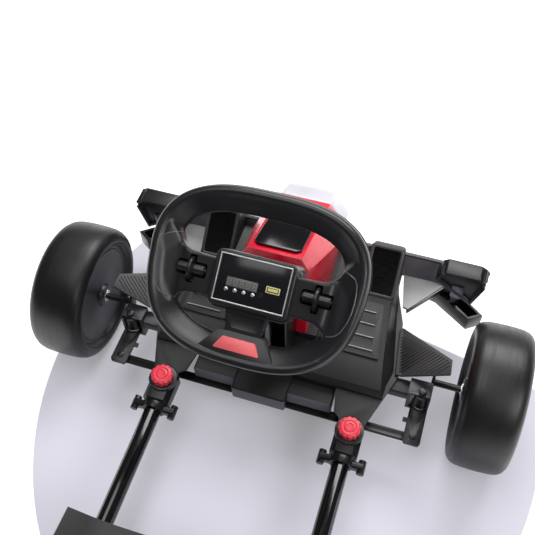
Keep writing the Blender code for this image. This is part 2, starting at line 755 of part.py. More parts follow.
def foot_sections(inset, floor):
    """Trapezoid rings across the footwell block, from its rear lip to the pedals."""
    ledge = 0.007
    stations = [(FOOT_REAR_Y, FLANGE_REAR_HALF - 0.001, FLANGE_REAR_HALF - 0.003, FOOT_LIP_Z),
                (FOOT_REAR_Y + 0.006, FLANGE_REAR_HALF - 0.001, FOOT_LOW_HALF + 0.003, FOOT_LOW_Z - 0.006),
                (FOOT_LOW_Y, FLANGE_REAR_HALF, FOOT_LOW_HALF, FOOT_LOW_Z),
                (FLANGE_MID_Y, FLANGE_MID_HALF - ledge, FOOT_LOW_HALF - 0.004, FOOT_LOW_Z + 0.003),
                (FOOT_HIGH_Y, FLANGE_FORE_HALF - ledge - 0.004, FOOT_HIGH_HALF, FOOT_HIGH_Z),
                (BODY_FRONT_Y - 0.001, POCKET_OUTER - 0.002, FOOT_HIGH_HALF, FOOT_HIGH_Z)]
    rings = []
    last = len(stations) - 1
    for i, (y, foot, top, height) in enumerate(stations):
        y += inset if i == 0 else (-inset if i == last else 0.0)
        rings.append([(-foot + inset, y, floor), (foot - inset, y, floor),
                      (top - inset, y, height - inset), (-top + inset, y, height - inset)])
    return rings


def pocket_frame():
    """Origin at the pocket's lower edge, Y up its slope, Z out of it towards the driver."""
    middle = (POCKET_INNER + POCKET_OUTER) / 2
    place = POCKET_FOOT + Vector((middle, 0.0, 0.0))
    return Matrix.Translation(place) @ Matrix.Rotation(radians(POCKET_SLOPE), 4, "X")


def pocket_tower():
    top = POCKET_FOOT + Vector((0, cos(radians(POCKET_SLOPE)), sin(radians(POCKET_SLOPE)))) * POCKET_LENGTH
    foot = POCKET_FOOT
    deep = (BODY_FRONT_Y - 0.0005 - top.y) / sin(radians(POCKET_SLOPE))
    rear = top + Vector((0, sin(radians(POCKET_SLOPE)), -cos(radians(POCKET_SLOPE)))) * deep
    outline = [(foot.y - 0.004, BASE_TOP - 0.001), (foot.y - 0.004, foot.z - 0.002), (foot.y, foot.z),
               (top.y, top.z), (rear.y, rear.z), (rear.y, BASE_TOP - 0.001)]
    return plate(outline, POCKET_INNER, POCKET_OUTER, "X")


def pocket_recess():
    half = (POCKET_OUTER - POCKET_INNER) / 2 - POCKET_RIM
    tool = box((-half, half), (POCKET_RIM, POCKET_LENGTH - POCKET_RIM), (-POCKET_DEPTH, 0.02), 0.0)
    tool.data.transform(pocket_frame())
    return tool


def foot_pad():
    """The raised tread panel in a footwell, with its ridges, laid on the footwell's slope."""
    run = FOOT_HIGH_Y - FOOT_LOW_Y
    rise = FOOT_HIGH_Z - FOOT_LOW_Z - 0.002
    rear, front = FOOT_LOW_Y + 0.028, FOOT_HIGH_Y - 0.014
    outer_rear, outer_front = FOOT_LOW_HALF - 0.012, FOOT_HIGH_HALF - 0.008
    pad = plate([(FOOT_PAD_INNER, rear), (outer_rear, rear), (outer_front, front), (FOOT_PAD_INNER, front)],
                -0.003, FOOT_PAD_T)
    ridges = []
    for i in range(FOOT_RIDGES):
        y = rear + FOOT_RIDGE_FIRST + i * FOOT_RIDGE_PITCH
        end = outer_rear + (outer_front - outer_rear) * (y - rear) / (front - rear) - 0.010
        ridges.append(box((end - FOOT_RIDGE_L, end), (y, y + FOOT_RIDGE_W),
                          (FOOT_PAD_T - 0.001, FOOT_PAD_T + 0.0012)))
    pad = join(pad, *ridges)
    for v in pad.data.vertices:
        v.co.z += FOOT_LOW_Z + 0.0015 + (v.co.y - FOOT_LOW_Y) * rise / run
    return pad


def front_body():
    base = plate(base_outline(), BASE_Z, BASE_TOP)
    block = cut(loft(foot_sections(0.0, BASE_Z + 0.001)), loft(foot_sections(BODY_WALL, BASE_Z - 0.02)))
    ledge = box((-TIP_NECK_X, TIP_NECK_X), (LEDGE_REAR_Y, FOOT_REAR_Y + BODY_WALL),
                (LEDGE_BOTTOM, LEDGE_TOP), 0.002)
    riser = box((-TIP_NECK_X, TIP_NECK_X), (FOOT_REAR_Y, FOOT_REAR_Y + BODY_WALL),
                (LEDGE_TOP - 0.003, BASE_TOP - 0.001))
    middle = box((-BOX_HALF, BOX_HALF), (BOX_REAR_Y, FOOT_REAR_Y + BODY_WALL / 2),
                 (LEDGE_BOTTOM + 0.001, LEDGE_TOP + BOX_RISE), 0.002)
    opening = box((-TIP_NECK_X - 0.05, TIP_NECK_X + 0.05), (FOOT_REAR_Y + BODY_WALL, FOOT_HIGH_Y),
                  (BASE_Z - 0.01, BASE_TOP + 0.0005))
    base = cut(base, opening)
    plinth = box((-PLINTH_HALF, PLINTH_HALF), (COWL_REAR_Y + 0.001, BODY_FRONT_Y - 0.0015),
                 (BASE_Z + 0.001, PLINTH_TOP))
    seat = box((-BRACKET_HALF - 0.014, BRACKET_HALF + 0.014), (FOOT_REAR_Y + 0.001, COWL_REAR_Y + 0.002),
               (BASE_Z + 0.001, BRACKET_SEAT))
    body = join(base, block, riser, ledge, middle, plinth, seat)
    for side in (-1, 1):
        tower, recess, pad = pocket_tower(), pocket_recess(), foot_pad()
        if side < 0:
            for ob in (tower, recess, pad):
                mirrored(ob)
        body = cut(join(body, tower, pad), recess)
    spindle = rod((0, COLUMN_Y, BASE_Z - 0.02), (0, COLUMN_Y, BRACKET_SEAT + 0.02), SPINDLE_R + 0.002)
    return finish(cut(body, spindle), "front_body", LOOKS["black_plastic"])


def side_step(side):
    """A foot rest that lies on the body's flange along its root and rises outwards from there."""
    root = BASE_TOP + GAP + STEP_T
    rear_y, front_y = STEP_TIP_REAR_Y, STEP_ROOT_FRONT_Y
    rise = (STEP_TIP_X - STEP_ROOT_X) * STEP_RISE
    edges = [((STEP_ROOT_X - 0.009, rear_y, root), (STEP_FORE_X - 0.004, front_y - 0.004, root)),
             ((STEP_ROOT_X, rear_y, root), (STEP_FORE_X, front_y, root)),
             ((STEP_TIP_X, rear_y, root + rise), (STEP_TIP_X - 0.002, STEP_TIP_FRONT_Y, root + rise + 0.003))]
    drop = Vector((0.0, 0.0, -STEP_T))
    rings = [[Vector(rear), Vector(front), Vector(front) + drop, Vector(rear) + drop]
             for rear, front in edges]
    return finish(loft(rings), "side_step_" + hand(side), LOOKS["ribbed_plastic"], side=side)


def cowl_station(y):
    """Half widths and heights of the cowl's top edge, waist and foot at one place along it."""
    t = (y - COWL_REAR_Y) / (COWL_FRONT_Y - COWL_REAR_Y)
    top = COWL_REAR_TOP + (COWL_FRONT_TOP - COWL_REAR_TOP) * t
    spread = min(1.0, t * 1.7)
    waist = COWL_TOP_HALF + 0.010 + (COWL_WAIST_HALF - COWL_TOP_HALF - 0.010) * spread
    drop = 0.022 + 0.018 * spread
    foot = COWL_TOP_HALF + 0.008 + (COWL_FOOT_HALF - COWL_TOP_HALF - 0.008) * spread
    return top, waist, top - drop, foot


def cowl_ring(y, inset, floor):
    top, waist, waist_z, foot = cowl_station(y)
    half = [(COWL_TOP_HALF - inset, top - inset), (waist - inset, waist_z), (foot - inset, floor)]
    return [(x, y, z) for x, z in half] + [(-x, y, z) for x, z in reversed(half)]


def nose_cowl():
    stations = [COWL_REAR_Y + (COWL_FRONT_Y - COWL_REAR_Y) * t for t in (0.0, 0.3, 0.6, 1.0)]
    outer = loft([cowl_ring(y, 0.0, COWL_FOOT) for y in stations])
    stations[0] += COWL_WALL
    stations[-1] -= COWL_WALL
    inner = loft([cowl_ring(y, COWL_WALL, COWL_FOOT - 0.01) for y in stations])
    return finish(cut(outer, inner), "nose_cowl", LOOKS["red_plastic"])


def cowl_panel():
    corner = 0.006
    outline = both_sides([(PANEL_HALF - corner, PANEL_REAR_Y),
                          (PANEL_HALF, PANEL_REAR_Y + corner), (PANEL_HALF, PANEL_FRONT_Y - corner),
                          (PANEL_HALF - corner, PANEL_FRONT_Y)])
    ob = plate(outline, GAP, GAP + PANEL_T)
    for v in ob.data.vertices:
        v.co.z += cowl_station(v.co.y)[0]
    return finish(ob, "cowl_panel", LOOKS["gloss_black"])


def nose_ring(y, top, top_half, waist_half, waist_z):
    half = [(top_half, top), (waist_half, waist_z), (waist_half - 0.004, NOSE_FOOT)]
    return [(x, y, z) for x, z in half] + [(-x, y, z) for x, z in reversed(half)]


def nose_cap():
    start = COWL_FRONT_Y + GAP
    span = NOSE_FRONT_Y - start
    top, waist, waist_z, _ = cowl_station(COWL_FRONT_Y)
    fall = top - NOSE_FRONT_TOP
    rings = []
    for t in (0.0, 0.35, 0.65, 0.87, 1.0):
        pinch = 1.0 - 0.62 * t ** 3
        height = top - fall * (0.45 * t + 0.55 * t ** 4)
        drop = (top - waist_z) * (1.0 - 0.55 * t)
        rings.append(nose_ring(start + span * t, height, COWL_TOP_HALF * pinch, waist * pinch, height - drop))
    return finish(loft(rings), "nose_cap", LOOKS["white_plastic"])


def bumper_side():
    """Right half of what hangs on the beam: web plate, guard, its hanger and the lamp post."""
    back = BUMPER_REAR_Y + 0.001
    gusset = plate([(FLANGE_FRONT_HALF + 0.002, back), (GUSSET_OUTER_X, back),
                    (GUSSET_TIP_OUTER_X, GUSSET_TIP_Y), (GUSSET_TIP_INNER_X, GUSSET_TIP_Y + 0.002)],
                   BUMPER_LOW, BUMPER_LOW + GUSSET_T)
    hanger = box((GUARD_ROOT_X, HANGER_OUTER_X), (BUMPER_REAR_Y, BUMPER_FRONT_Y),
                 (GUARD_LOW, BUMPER_LOW + 0.01))
    guard = plate([(GUARD_ROOT_X, BUMPER_FRONT_Y), (GUARD_ROOT_X, BUMPER_REAR_Y),
                   (GUARD_BEND_X, BUMPER_REAR_Y - GUARD_WALL), (GUARD_TIP_X - 0.020, GUARD_TIP_Y - 0.014),
                   (GUARD_TIP_X, GUARD_TIP_Y), (GUARD_CORNER_X, BUMPER_FRONT_Y)], GUARD_LOW, GUARD_HIGH)
    post_front = LAMP_REAR_Y + LAMP_DEPTH
    post = box((LAMP_POST_X - LAMP_POST_W / 2, LAMP_POST_X + LAMP_POST_W / 2),
               (post_front - LAMP_POST_D, post_front), (GUARD_HIGH - 0.001, LAMP_POST_TOP))
    return gusset, hanger, guard, post


def front_bumper():
    beam = box((-BUMPER_HALF, BUMPER_HALF), (BUMPER_REAR_Y, BUMPER_FRONT_Y),
               (BUMPER_LOW, BUMPER_HIGH), 0.0015)
    for side in (-1, 1):
        for ob in bumper_side():
            beam = join(beam, mirrored(ob) if side < 0 else ob)
    return finish(beam, "front_bumper", LOOKS["black_steel"])


def lamp_outline(inset=0.0):
    return [(LAMP_TOP_INNER + inset, LAMP_TOP - inset), (0.205 + inset * 1.3, 0.155),
            (LAMP_TIP_X - inset * 0.3, LAMP_TIP_Z + inset * 1.5), (0.279 - inset, 0.166),
            (LAMP_TOP_OUTER - inset, LAMP_TOP - inset)]


def headlamp(side):
    shell = plate(lamp_outline(), LAMP_REAR_Y, LAMP_REAR_Y + LAMP_DEPTH, "Y")
    well = plate(lamp_outline(0.003), LAMP_REAR_Y + 0.004, LAMP_REAR_Y + LAMP_DEPTH + 0.01, "Y")
    lens = plate(lamp_outline(0.003 + GAP), LAMP_REAR_Y + LAMP_DEPTH - LENS_T, LAMP_REAR_Y + LAMP_DEPTH, "Y")
    finish(cut(shell, well), "headlamp_" + hand(side), LOOKS["black_plastic"], side=side)
    finish(lens, "lamp_lens_" + hand(side), LOOKS["clear_lens"], side=side)


def pedal(side, name):
    """Built flat about its hinge, then laid up the pocket's slope."""
    half = (POCKET_OUTER - POCKET_INNER) / 2 - POCKET_RIM
    low = -PEDAL_SINK - PEDAL_T
    start = POCKET_RIM + PEDAL_SIDE_GAP
    end = POCKET_LENGTH - POCKET_RIM - PEDAL_SIDE_GAP
    pin_y = start + PEDAL_PIN_R
    pin_z = low - PEDAL_PIN_R * 0.5
    tread = box((-half + PEDAL_SIDE_GAP, half - PEDAL_SIDE_GAP), (start, end), (low, -PEDAL_SINK), 0.0015)
    pin = rod((-half + GAP, pin_y, pin_z), (half - GAP, pin_y, pin_z), PEDAL_PIN_R, 12)
    ob = join(tread, pin)
    frame = pocket_frame()
    ob.data.transform(frame)
    return finish(ob, name, LOOKS["gloss_black"], origin=frame @ Vector((0, pin_y, pin_z)), side=side)


# Clamps, knobs and tubes

def tube_clamp(side):
    x, z = TUBE_X, TUBE_Z
    half = CLAMP_W / 2
    block = box((x - half, x + half), (CLAMP_BLOCK_Y, CLAMP_FRONT_Y), (CLAMP_BOTTOM, CLAMP_TOP), 0.007)
    collar = rod((x, CLAMP_REAR_Y, z), (x, CLAMP_BLOCK_Y + 0.004, z), TUBE_R + CLAMP_WALL, 20)
    boss = rod((x, KNOB_Y, CLAMP_TOP - 0.003), (x, KNOB_Y, KNOB_SEAT), KNOB_BOSS_R, 24)
    ears = box((x - half - CLAMP_EAR, x + half + CLAMP_EAR), (CLAMP_REAR_Y, CLAMP_REAR_Y + CLAMP_EAR_T),
               (z - 0.007, z + 0.007), 0.002)
    reach = half + CLAMP_EAR - CLAMP_BOLT_R * 0.75
    bolt_y = CLAMP_REAR_Y + (CLAMP_EAR_T - CLAMP_BOLT_L) / 2
    bolts = [rod((x + s * reach, bolt_y, z), (x + s * reach, bolt_y + CLAMP_BOLT_L, z), CLAMP_BOLT_R, 8)
             for s in (-1, 1)]
    bore = rod((x, CLAMP_REAR_Y - 0.02, z), (x, CLAMP_FRONT_Y + 0.02, z), TUBE_R + GAP, 20)
    screw = rod((x, KNOB_Y, z), (x, KNOB_Y, KNOB_SEAT + 0.01), KNOB_STEM_R + SLIP)
    ob = cut(join(block, collar, boss, ears, *bolts), bore, screw)
    return finish(ob, "tube_clamp_" + hand(side), LOOKS["black_plastic"], side=side)


def clamp_knob(side):
    x = TUBE_X
    rim = []
    for i in range(KNOB_LOBES * 2):
        a = pi * i / KNOB_LOBES
        r = KNOB_R - (KNOB_LOBE_DEPTH if i % 2 else 0.0)
        rim.append((x + r * cos(a), KNOB_Y + r * sin(a)))
    foot = KNOB_SEAT + GAP
    head = plate(rim, foot, foot + KNOB_H)
    near, far = KNOB_R * 0.45, KNOB_R * 0.72
    dish = turned([(near, 0.0), (far, 0.0), (far, 0.01), (near, 0.01)], 16)
    dish.data.transform(Matrix.Translation((x, KNOB_Y, foot + KNOB_H - 0.0015)))
    stem = rod((x, KNOB_Y, FRAME_TUBE_TOP + GAP), (x, KNOB_Y, foot + 0.002), KNOB_STEM_R)
    ob = join(cut(head, dish), stem)
    return finish(ob, "clamp_knob_" + hand(side), LOOKS["red_plastic"], origin=(x, KNOB_Y, 0.0), side=side)


def frame_tube(side):
    rear = REAR_BAR_FRONT_Y + GAP
    tube = rod((TUBE_X, rear, TUBE_Z), (TUBE_X, TUBE_FRONT_Y, TUBE_Z), TUBE_R, 20)
    bore = rod((TUBE_X, rear + 0.004, TUBE_Z), (TUBE_X, TUBE_FRONT_Y + 0.01, TUBE_Z), TUBE_R - 0.002, 16)
    return finish(cut(tube, bore), "frame_tube_" + hand(side), LOOKS["black_steel"], side=side)


# Steering wheel and console

def wheel_axis():
    empty = bpy.data.objects.new("steering_axis", None)
    KART.objects.link(empty)
    empty.location = (0.0, WHEEL_Y, WHEEL_Z)
    empty.rotation_euler = (radians(WHEEL_TILT), 0.0, 0.0)
    return empty


def rim_point(angle, inset):
    """A point on the rim's outline, a rectangle with well rounded corners."""
    width = RIM_HALF_WIDTH - inset
    middle = (RIM_TOP - RIM_BOTTOM) / 2
    height = (RIM_TOP + RIM_BOTTOM) / 2 - inset
    c, s = cos(angle), sin(angle)
    power = RIM_CORNER_POWER
    reach = (abs(c / width) ** power + abs(s / height) ** power) ** (-1 / power)
    return reach * c, middle + reach * s


def rim_ring():
    """The grip: an oval section, leaning outwards to its crest, carried round the outline."""
    loops = []
    for i in range(RIM_STEPS):
        angle = 2 * pi * i / RIM_STEPS
        x, y = rim_point(angle, RIM_THICK / 2)
        ahead = (Vector(rim_point(angle + 0.01, RIM_THICK / 2))
                 - Vector(rim_point(angle - 0.01, RIM_THICK / 2)))
        out = Vector((ahead.y, -ahead.x)).normalized()
        loop = []
        for k in range(RIM_SIDES):
            a = 2 * pi * k / RIM_SIDES
            r = RIM_THICK / 2 * cos(a)
            height = -RIM_SINK + RIM_DEPTH / 2 * sin(a) + RIM_LEAN * cos(a)
            loop.append((x + out.x * r, y + out.y * r, height))
        loops.append(loop)
    bm = bmesh.new()
    rings = [[bm.verts.new(p) for p in loop] for loop in loops]
    for near, far in zip(rings, rings[1:] + rings[:1]):
        for k in range(RIM_SIDES):
            m = (k + 1) % RIM_SIDES
            bm.faces.new((near[k], near[m], far[m], far[k]))
    return from_bmesh(bm)


def steering_wheel(axis):
    rim = rim_ring()
    console = box((-CONSOLE_HALF_W, CONSOLE_HALF_W), (-CONSOLE_BOTTOM, CONSOLE_TOP),
                  (-CONSOLE_DEPTH, 0.0), 0.005)
    reach = RIM_HALF_WIDTH - RIM_THICK * 0.6
    spoke_low = -SPOKE_SINK - SPOKE_DEPTH
    spokes = box((-reach, reach), (-SPOKE_BOTTOM, SPOKE_TOP), (spoke_low, -SPOKE_SINK), 0.004)
    low = plate(both_sides([(LOW_SPOKE_TOP_HALF, -CONSOLE_BOTTOM + 0.008),
                            (LOW_SPOKE_FOOT_HALF, -PAD_TOP - 0.010)]),
                spoke_low, -SPOKE_SINK - 0.008)
    foot = -RIM_BOTTOM + RIM_THICK * 0.35
    pad = plate(both_sides([(WHEEL_PAD_TOP_HALF, -PAD_TOP), (PAD_FOOT_HALF, foot)]),
                spoke_low + 0.004, RIM_DEPTH / 2 - RIM_SINK)
    sleeve = rod((0, 0, -CONSOLE_DEPTH - HUB_SLEEVE_L), (0, 0, -CONSOLE_DEPTH + 0.004), HUB_SLEEVE_R, 20)
    wheel = join(rim, console, spokes, low, pad, sleeve)
    tools = [box((-DISPLAY_HALF_W - GAP, DISPLAY_HALF_W + GAP), (-DISPLAY_HALF_H - GAP, DISPLAY_HALF_H + GAP),
                 (-DISPLAY_T - GAP, 0.01)),
             rod((0, 0, -CONSOLE_DEPTH - HUB_SLEEVE_L - 0.01), (0, 0, -CONSOLE_DEPTH + 0.001), SHAFT_R + GAP),
             plate(insert_outline(GAP), RIM_DEPTH / 2 - RIM_SINK - INSERT_T + 0.0005, RIM_DEPTH)]
    for i in range(BUTTONS):
        x = BUTTON_FIRST_X + i * BUTTON_PITCH
        tools.append(rod((x, BUTTON_ROW, -DISPLAY_T - 0.003), (x, BUTTON_ROW, 0.0), BUTTON_R + GAP, 12))
    for side in (-1, 1):
        half = ROLLER_L / 2 + ROLLER_CLEAR
        x = side * ROLLER_X
        well = ROLLER_R + ROLLER_CLEAR
        groove = ROLLER_DISC_R + ROLLER_CLEAR
        thick = ROLLER_DISC_T / 2 + ROLLER_CLEAR
        tools.append(box((x - half, x + half), (-well, well), (-SPOKE_SINK - well, 0.02)))
        tools.append(box((x - thick, x + thick), (-groove, groove), (-SPOKE_SINK - groove, 0.02)))
    return finish(cut(wheel, *tools), "steering_wheel", LOOKS["black_plastic"], parent=axis)


def insert_outline(grow=0.0):
    return both_sides([(INSERT_TOP_HALF + grow, -INSERT_TOP + grow),
                       (INSERT_FOOT_HALF + grow, -INSERT_FOOT - grow)])


def wheel_fittings(axis):
    top = RIM_DEPTH / 2 - RIM_SINK
    insert = plate(insert_outline(), top - INSERT_T + 0.0005 + GAP, top + 0.0008)
    finish(insert, "wheel_insert", LOOKS["red_plastic"], parent=axis)
    face = box((-DISPLAY_HALF_W, DISPLAY_HALF_W), (-DISPLAY_HALF_H, DISPLAY_HALF_H), (-DISPLAY_T, 0.0))
    holes = []
    for i in range(BUTTONS):
        x = BUTTON_FIRST_X + i * BUTTON_PITCH
        holes.append(rod((x, BUTTON_ROW, -DISPLAY_T - 0.01), (x, BUTTON_ROW, 0.01), BUTTON_R + GAP, 12))
        stem = rod((x, BUTTON_ROW, -DISPLAY_T - 0.0015), (x, BUTTON_ROW, BUTTON_RISE * 0.4), BUTTON_R, 12)
        dome = rod((x, BUTTON_ROW, BUTTON_RISE * 0.4), (x, BUTTON_ROW, BUTTON_RISE),
                   BUTTON_R, 12, BUTTON_R * 0.6)
        finish(join(stem, dome), "display_button_%d" % (i + 1), LOOKS["chrome_plastic"],
               origin=(x, BUTTON_ROW, 0.0), parent=axis)
    finish(cut(face, *holes), "display_panel", LOOKS["display_face"], parent=axis)
    for side in (-1, 1):
        z = -SPOKE_SINK
        core = rod((ROLLER_X - ROLLER_L / 2, 0, z), (ROLLER_X + ROLLER_L / 2, 0, z), ROLLER_R, 14)
        disc = rod((ROLLER_X - ROLLER_DISC_T / 2, 0, z), (ROLLER_X + ROLLER_DISC_T / 2, 0, z),
                   ROLLER_DISC_R, 20)
        pins = rod((ROLLER_X - ROLLER_L / 2 - ROLLER_CLEAR + GAP, 0, z),
                   (ROLLER_X + ROLLER_L / 2 + ROLLER_CLEAR - GAP, 0, z), ROLLER_R * 0.4, 10)
        finish(join(core, disc, pins), "thumb_roller_" + hand(side), LOOKS["black_plastic"],
               origin=(ROLLER_X, 0.0, z), side=side, parent=axis)


def steering_shaft(axis):
    ball_at = -SPINDLE_TOP_LENGTH
    shaft = rod((0, 0, ball_at), (0, 0, -CONSOLE_DEPTH + 0.001 - GAP), SHAFT_R)
    return finish(join(ball((0, 0, ball_at), BALL_R), shaft), "steering_shaft", LOOKS["zinc_steel"],
                  parent=axis)


# Rear frame and drive

def rear_frame():
    """Two rails on the tubes, a bar at each end, ears for the axle and posts for the seat."""
    low = FRAME_TUBE_TOP + GAP
    rear_low = REAR_BAR_LOW
    wall = REAR_BAR_WALL
    rear_bar = box((-FRAME_HALF, FRAME_HALF), (REAR_BAR_Y, REAR_BAR_FRONT_Y),
                   (rear_low, REAR_BAR_TOP), 0.0015)
    channel = box((-FRAME_HALF + wall * 2, FRAME_HALF - wall * 2),
                  (REAR_BAR_Y + wall, REAR_BAR_FRONT_Y - wall), (rear_low - 0.01, REAR_BAR_TOP - wall))
    rear_bar = cut(rear_bar, channel)
    front_bar = box((-TUBE_X - RAIL_W / 2, TUBE_X + RAIL_W / 2), (RAIL_FRONT_Y - FRONT_BAR_W, RAIL_FRONT_Y),
                    (low, RAIL_TOP), 0.0015)
    ob = join(rear_bar, front_bar)
    for side in (-1, 1):
        x = side * TUBE_X
        rail = box((x - RAIL_W / 2, x + RAIL_W / 2), (REAR_BAR_FRONT_Y - 0.002, RAIL_FRONT_Y - 0.001),
                   (low, RAIL_TOP))
        outer = side * FRAME_HALF
        ear = box(sorted((outer, outer - side * EAR_T)), (REAR_AXLE_Y - EAR_HALF, REAR_AXLE_Y + EAR_HALF),
                  (rear_low + 0.004, EAR_TOP), 0.0015)
        ob = join(ob, rail, ear)
        for y in (RAIL_FRONT_Y - FRONT_BAR_W / 2, POST_REAR_Y):
            seat_x = side * (SEAT_HALF - 0.060)
            arm = box(sorted((x, seat_x - side * POST_W / 2)), (y - POST_W / 2, y + POST_W / 2),
                      (RAIL_TOP - 0.006, RAIL_TOP))
            post = box((seat_x - POST_W / 2, seat_x + POST_W / 2), (y - POST_W / 2, y + POST_W / 2),
                       (RAIL_TOP - 0.005, RAIL_TOP + 0.010))
            for v in post.data.vertices:
                if v.co.z > RAIL_TOP:
                    v.co.z = seat_underside(v.co.y) - GAP
            ob = join(ob, arm, post)
    past = FRAME_HALF + 0.01
    axle = rod((-past, REAR_AXLE_Y, REAR_WHEEL_R), (past, REAR_AXLE_Y, REAR_WHEEL_R), REAR_AXLE_R + SLIP)
    return finish(cut(ob, axle), "rear_frame", LOOKS["black_steel"])


def rear_axle():
    end = REAR_WHEEL_X + REAR_WHEEL_W / 2 - AXLE_NUT_T - 0.004 + GAP * 2
    y, z = REAR_AXLE_Y, REAR_WHEEL_R
    bar = rod((-end - AXLE_NUT_T, y, z), (end + AXLE_NUT_T, y, z), REAR_AXLE_R)
    nuts = [rod((side * end, y, z), (side * (end + AXLE_NUT_T), y, z), AXLE_NUT_R, 6) for side in (-1, 1)]
    return finish(join(bar, *nuts), "rear_axle", LOOKS["zinc_steel"], origin=(0.0, y, z))


def gearbox(side):
    """A flat gear case round the axle, with the motor standing out of its inner face."""
    outer = REAR_WHEEL_X - REAR_WHEEL_W / 2 - GEARCASE_CLEAR
    inner = outer - GEARCASE_W
    hub_face = REAR_WHEEL_X - REAR_WHEEL_W / 2 + HUB_RECESS - GAP * 2
    y, z = REAR_AXLE_Y, REAR_WHEEL_R
    outline = arc((MOTOR_Y, MOTOR_Z), GEARCASE_NOSE_R, -80, 95, 8) + arc((y, z), GEARCASE_R, 95, 280, 10)
    case = plate(outline, inner, outer, "X")
    motor = rod((FRAME_HALF + GAP, MOTOR_Y, MOTOR_Z), (inner + 0.002, MOTOR_Y, MOTOR_Z), MOTOR_R, 20)
    boss = rod((outer - 0.001, y, z), (hub_face, y, z), HUB_BOSS_R * 0.85)
    bore = rod((inner - 0.01, y, z), (hub_face + 0.01, y, z), REAR_AXLE_R + GAP)
    ob = cut(join(case, motor, boss), bore)
    return finish(ob, "gearbox_" + hand(side), LOOKS["grey_plastic"], side=side)


def rear_bumper():
    start = REAR_BAR_Y - GAP
    low = (REAR_BAR_LOW + REAR_BAR_TOP) / 2
    high = low + BUMP_RISE
    bend = 0.03
    right = [(BUMP_HALF - 0.020, start, low), (BUMP_HALF - 0.020, start - 0.045, low),
             (BUMP_HALF - 0.018, BUMP_Y + 0.040, low + BUMP_RISE * 0.45),
             (BUMP_HALF - 0.024, BUMP_Y + 0.008, high - 0.012), (BUMP_HALF - bend - 0.010, BUMP_Y, high)]
    route = right + [(-x, y, z) for x, y, z in reversed(right)]
    return finish(pipe(route, BUMP_R), "rear_bumper", LOOKS["black_steel"])


# Seat

def seat_path(s):
    """Where the middle of the seat runs, and its upward normal: pan, bend, then back."""
    fall = SEAT_PAN_FALL / (SEAT_FRONT_Y - SEAT_BACK_Y)
    pan = SEAT_FRONT_Y - SEAT_BACK_Y
    swing = radians(90 - SEAT_BACK_LEAN)
    bend = SEAT_BEND_R * swing
    if s < pan:
        return Vector((0, SEAT_FRONT_Y - s, SEAT_PAN_Z - fall * s)), Vector((0, 0, 1))
    start = Vector((0, SEAT_BACK_Y, SEAT_PAN_Z - SEAT_PAN_FALL))
    if s < pan + bend:
        a = (s - pan) / SEAT_BEND_R
        return (start + Vector((0, -sin(a), 1 - cos(a))) * SEAT_BEND_R, Vector((0, sin(a), cos(a))))
    corner = start + Vector((0, -sin(swing), 1 - cos(swing))) * SEAT_BEND_R
    run = s - pan - bend
    return corner + Vector((0, -cos(swing), sin(swing))) * run, Vector((0, sin(swing), cos(swing)))


def seat_underside(y):
    fall = SEAT_PAN_FALL / (SEAT_FRONT_Y - SEAT_BACK_Y)
    return SEAT_PAN_Z - fall * (SEAT_FRONT_Y - y) - SEAT_SHELL_T


def seat_lengths():
    pan = SEAT_FRONT_Y - SEAT_BACK_Y
    bend = SEAT_BEND_R * radians(90 - SEAT_BACK_LEAN)
    return pan, bend, pan + bend + SEAT_BACK_L


def bolster_rise(s):
    """How far the sides stand up: low at the front lip, highest at the bend, low at the top."""
    pan, _, total = seat_lengths()
    rise = PAN_BOLSTER + (BACK_BOLSTER - PAN_BOLSTER) * min(1.0, s / pan)
    return rise * min(1.0, 0.35 + 2.2 * s / total) * min(1.0, 0.25 + 4.0 * (1 - s / total))


def seat_shell():
    """A bucket: a sheet bent along the seat's path, its sides raised into bolsters."""
    pan, bend, total = seat_lengths()
    stations = [pan * i / 5 for i in range(5)] + [pan + bend * i / 5 for i in range(5)]
    stations += [pan + bend + SEAT_BACK_L * i / 6 for i in range(7)]
    rows, columns = len(stations) - 1, 12
    bm = bmesh.new()
    grid = []
    for s in stations:
        place, up = seat_path(s)
        back = min(1.0, max(0.0, (s - pan) / (total - pan)))
        half = SEAT_HALF + (SEAT_TOP_HALF - SEAT_HALF) * back
        rise = bolster_rise(s)
        row = []
        for k in range(columns + 1):
            t = -1 + 2 * k / columns
            lift = max(0.0, (abs(t) - 0.66) / 0.34)
            row.append(bm.verts.new(Vector((half * t, 0, 0)) + place + up * rise * lift ** 1.5))
        grid.append(row)
    for i in range(rows):
        for k in range(columns):
            bm.faces.new((grid[i][k], grid[i][k + 1], grid[i + 1][k + 1], grid[i + 1][k]))
    sheet = from_bmesh(bm)
    if sheet.data.polygons[columns // 2].normal.z < 0:
        sheet.data.flip_normals()
    solidify = sheet.modifiers.new("wall", "SOLIDIFY")
    solidify.thickness = SEAT_SHELL_T
    solidify.offset = -1.0
    return finish(settled(sheet), "seat_shell", LOOKS["black_plastic"])


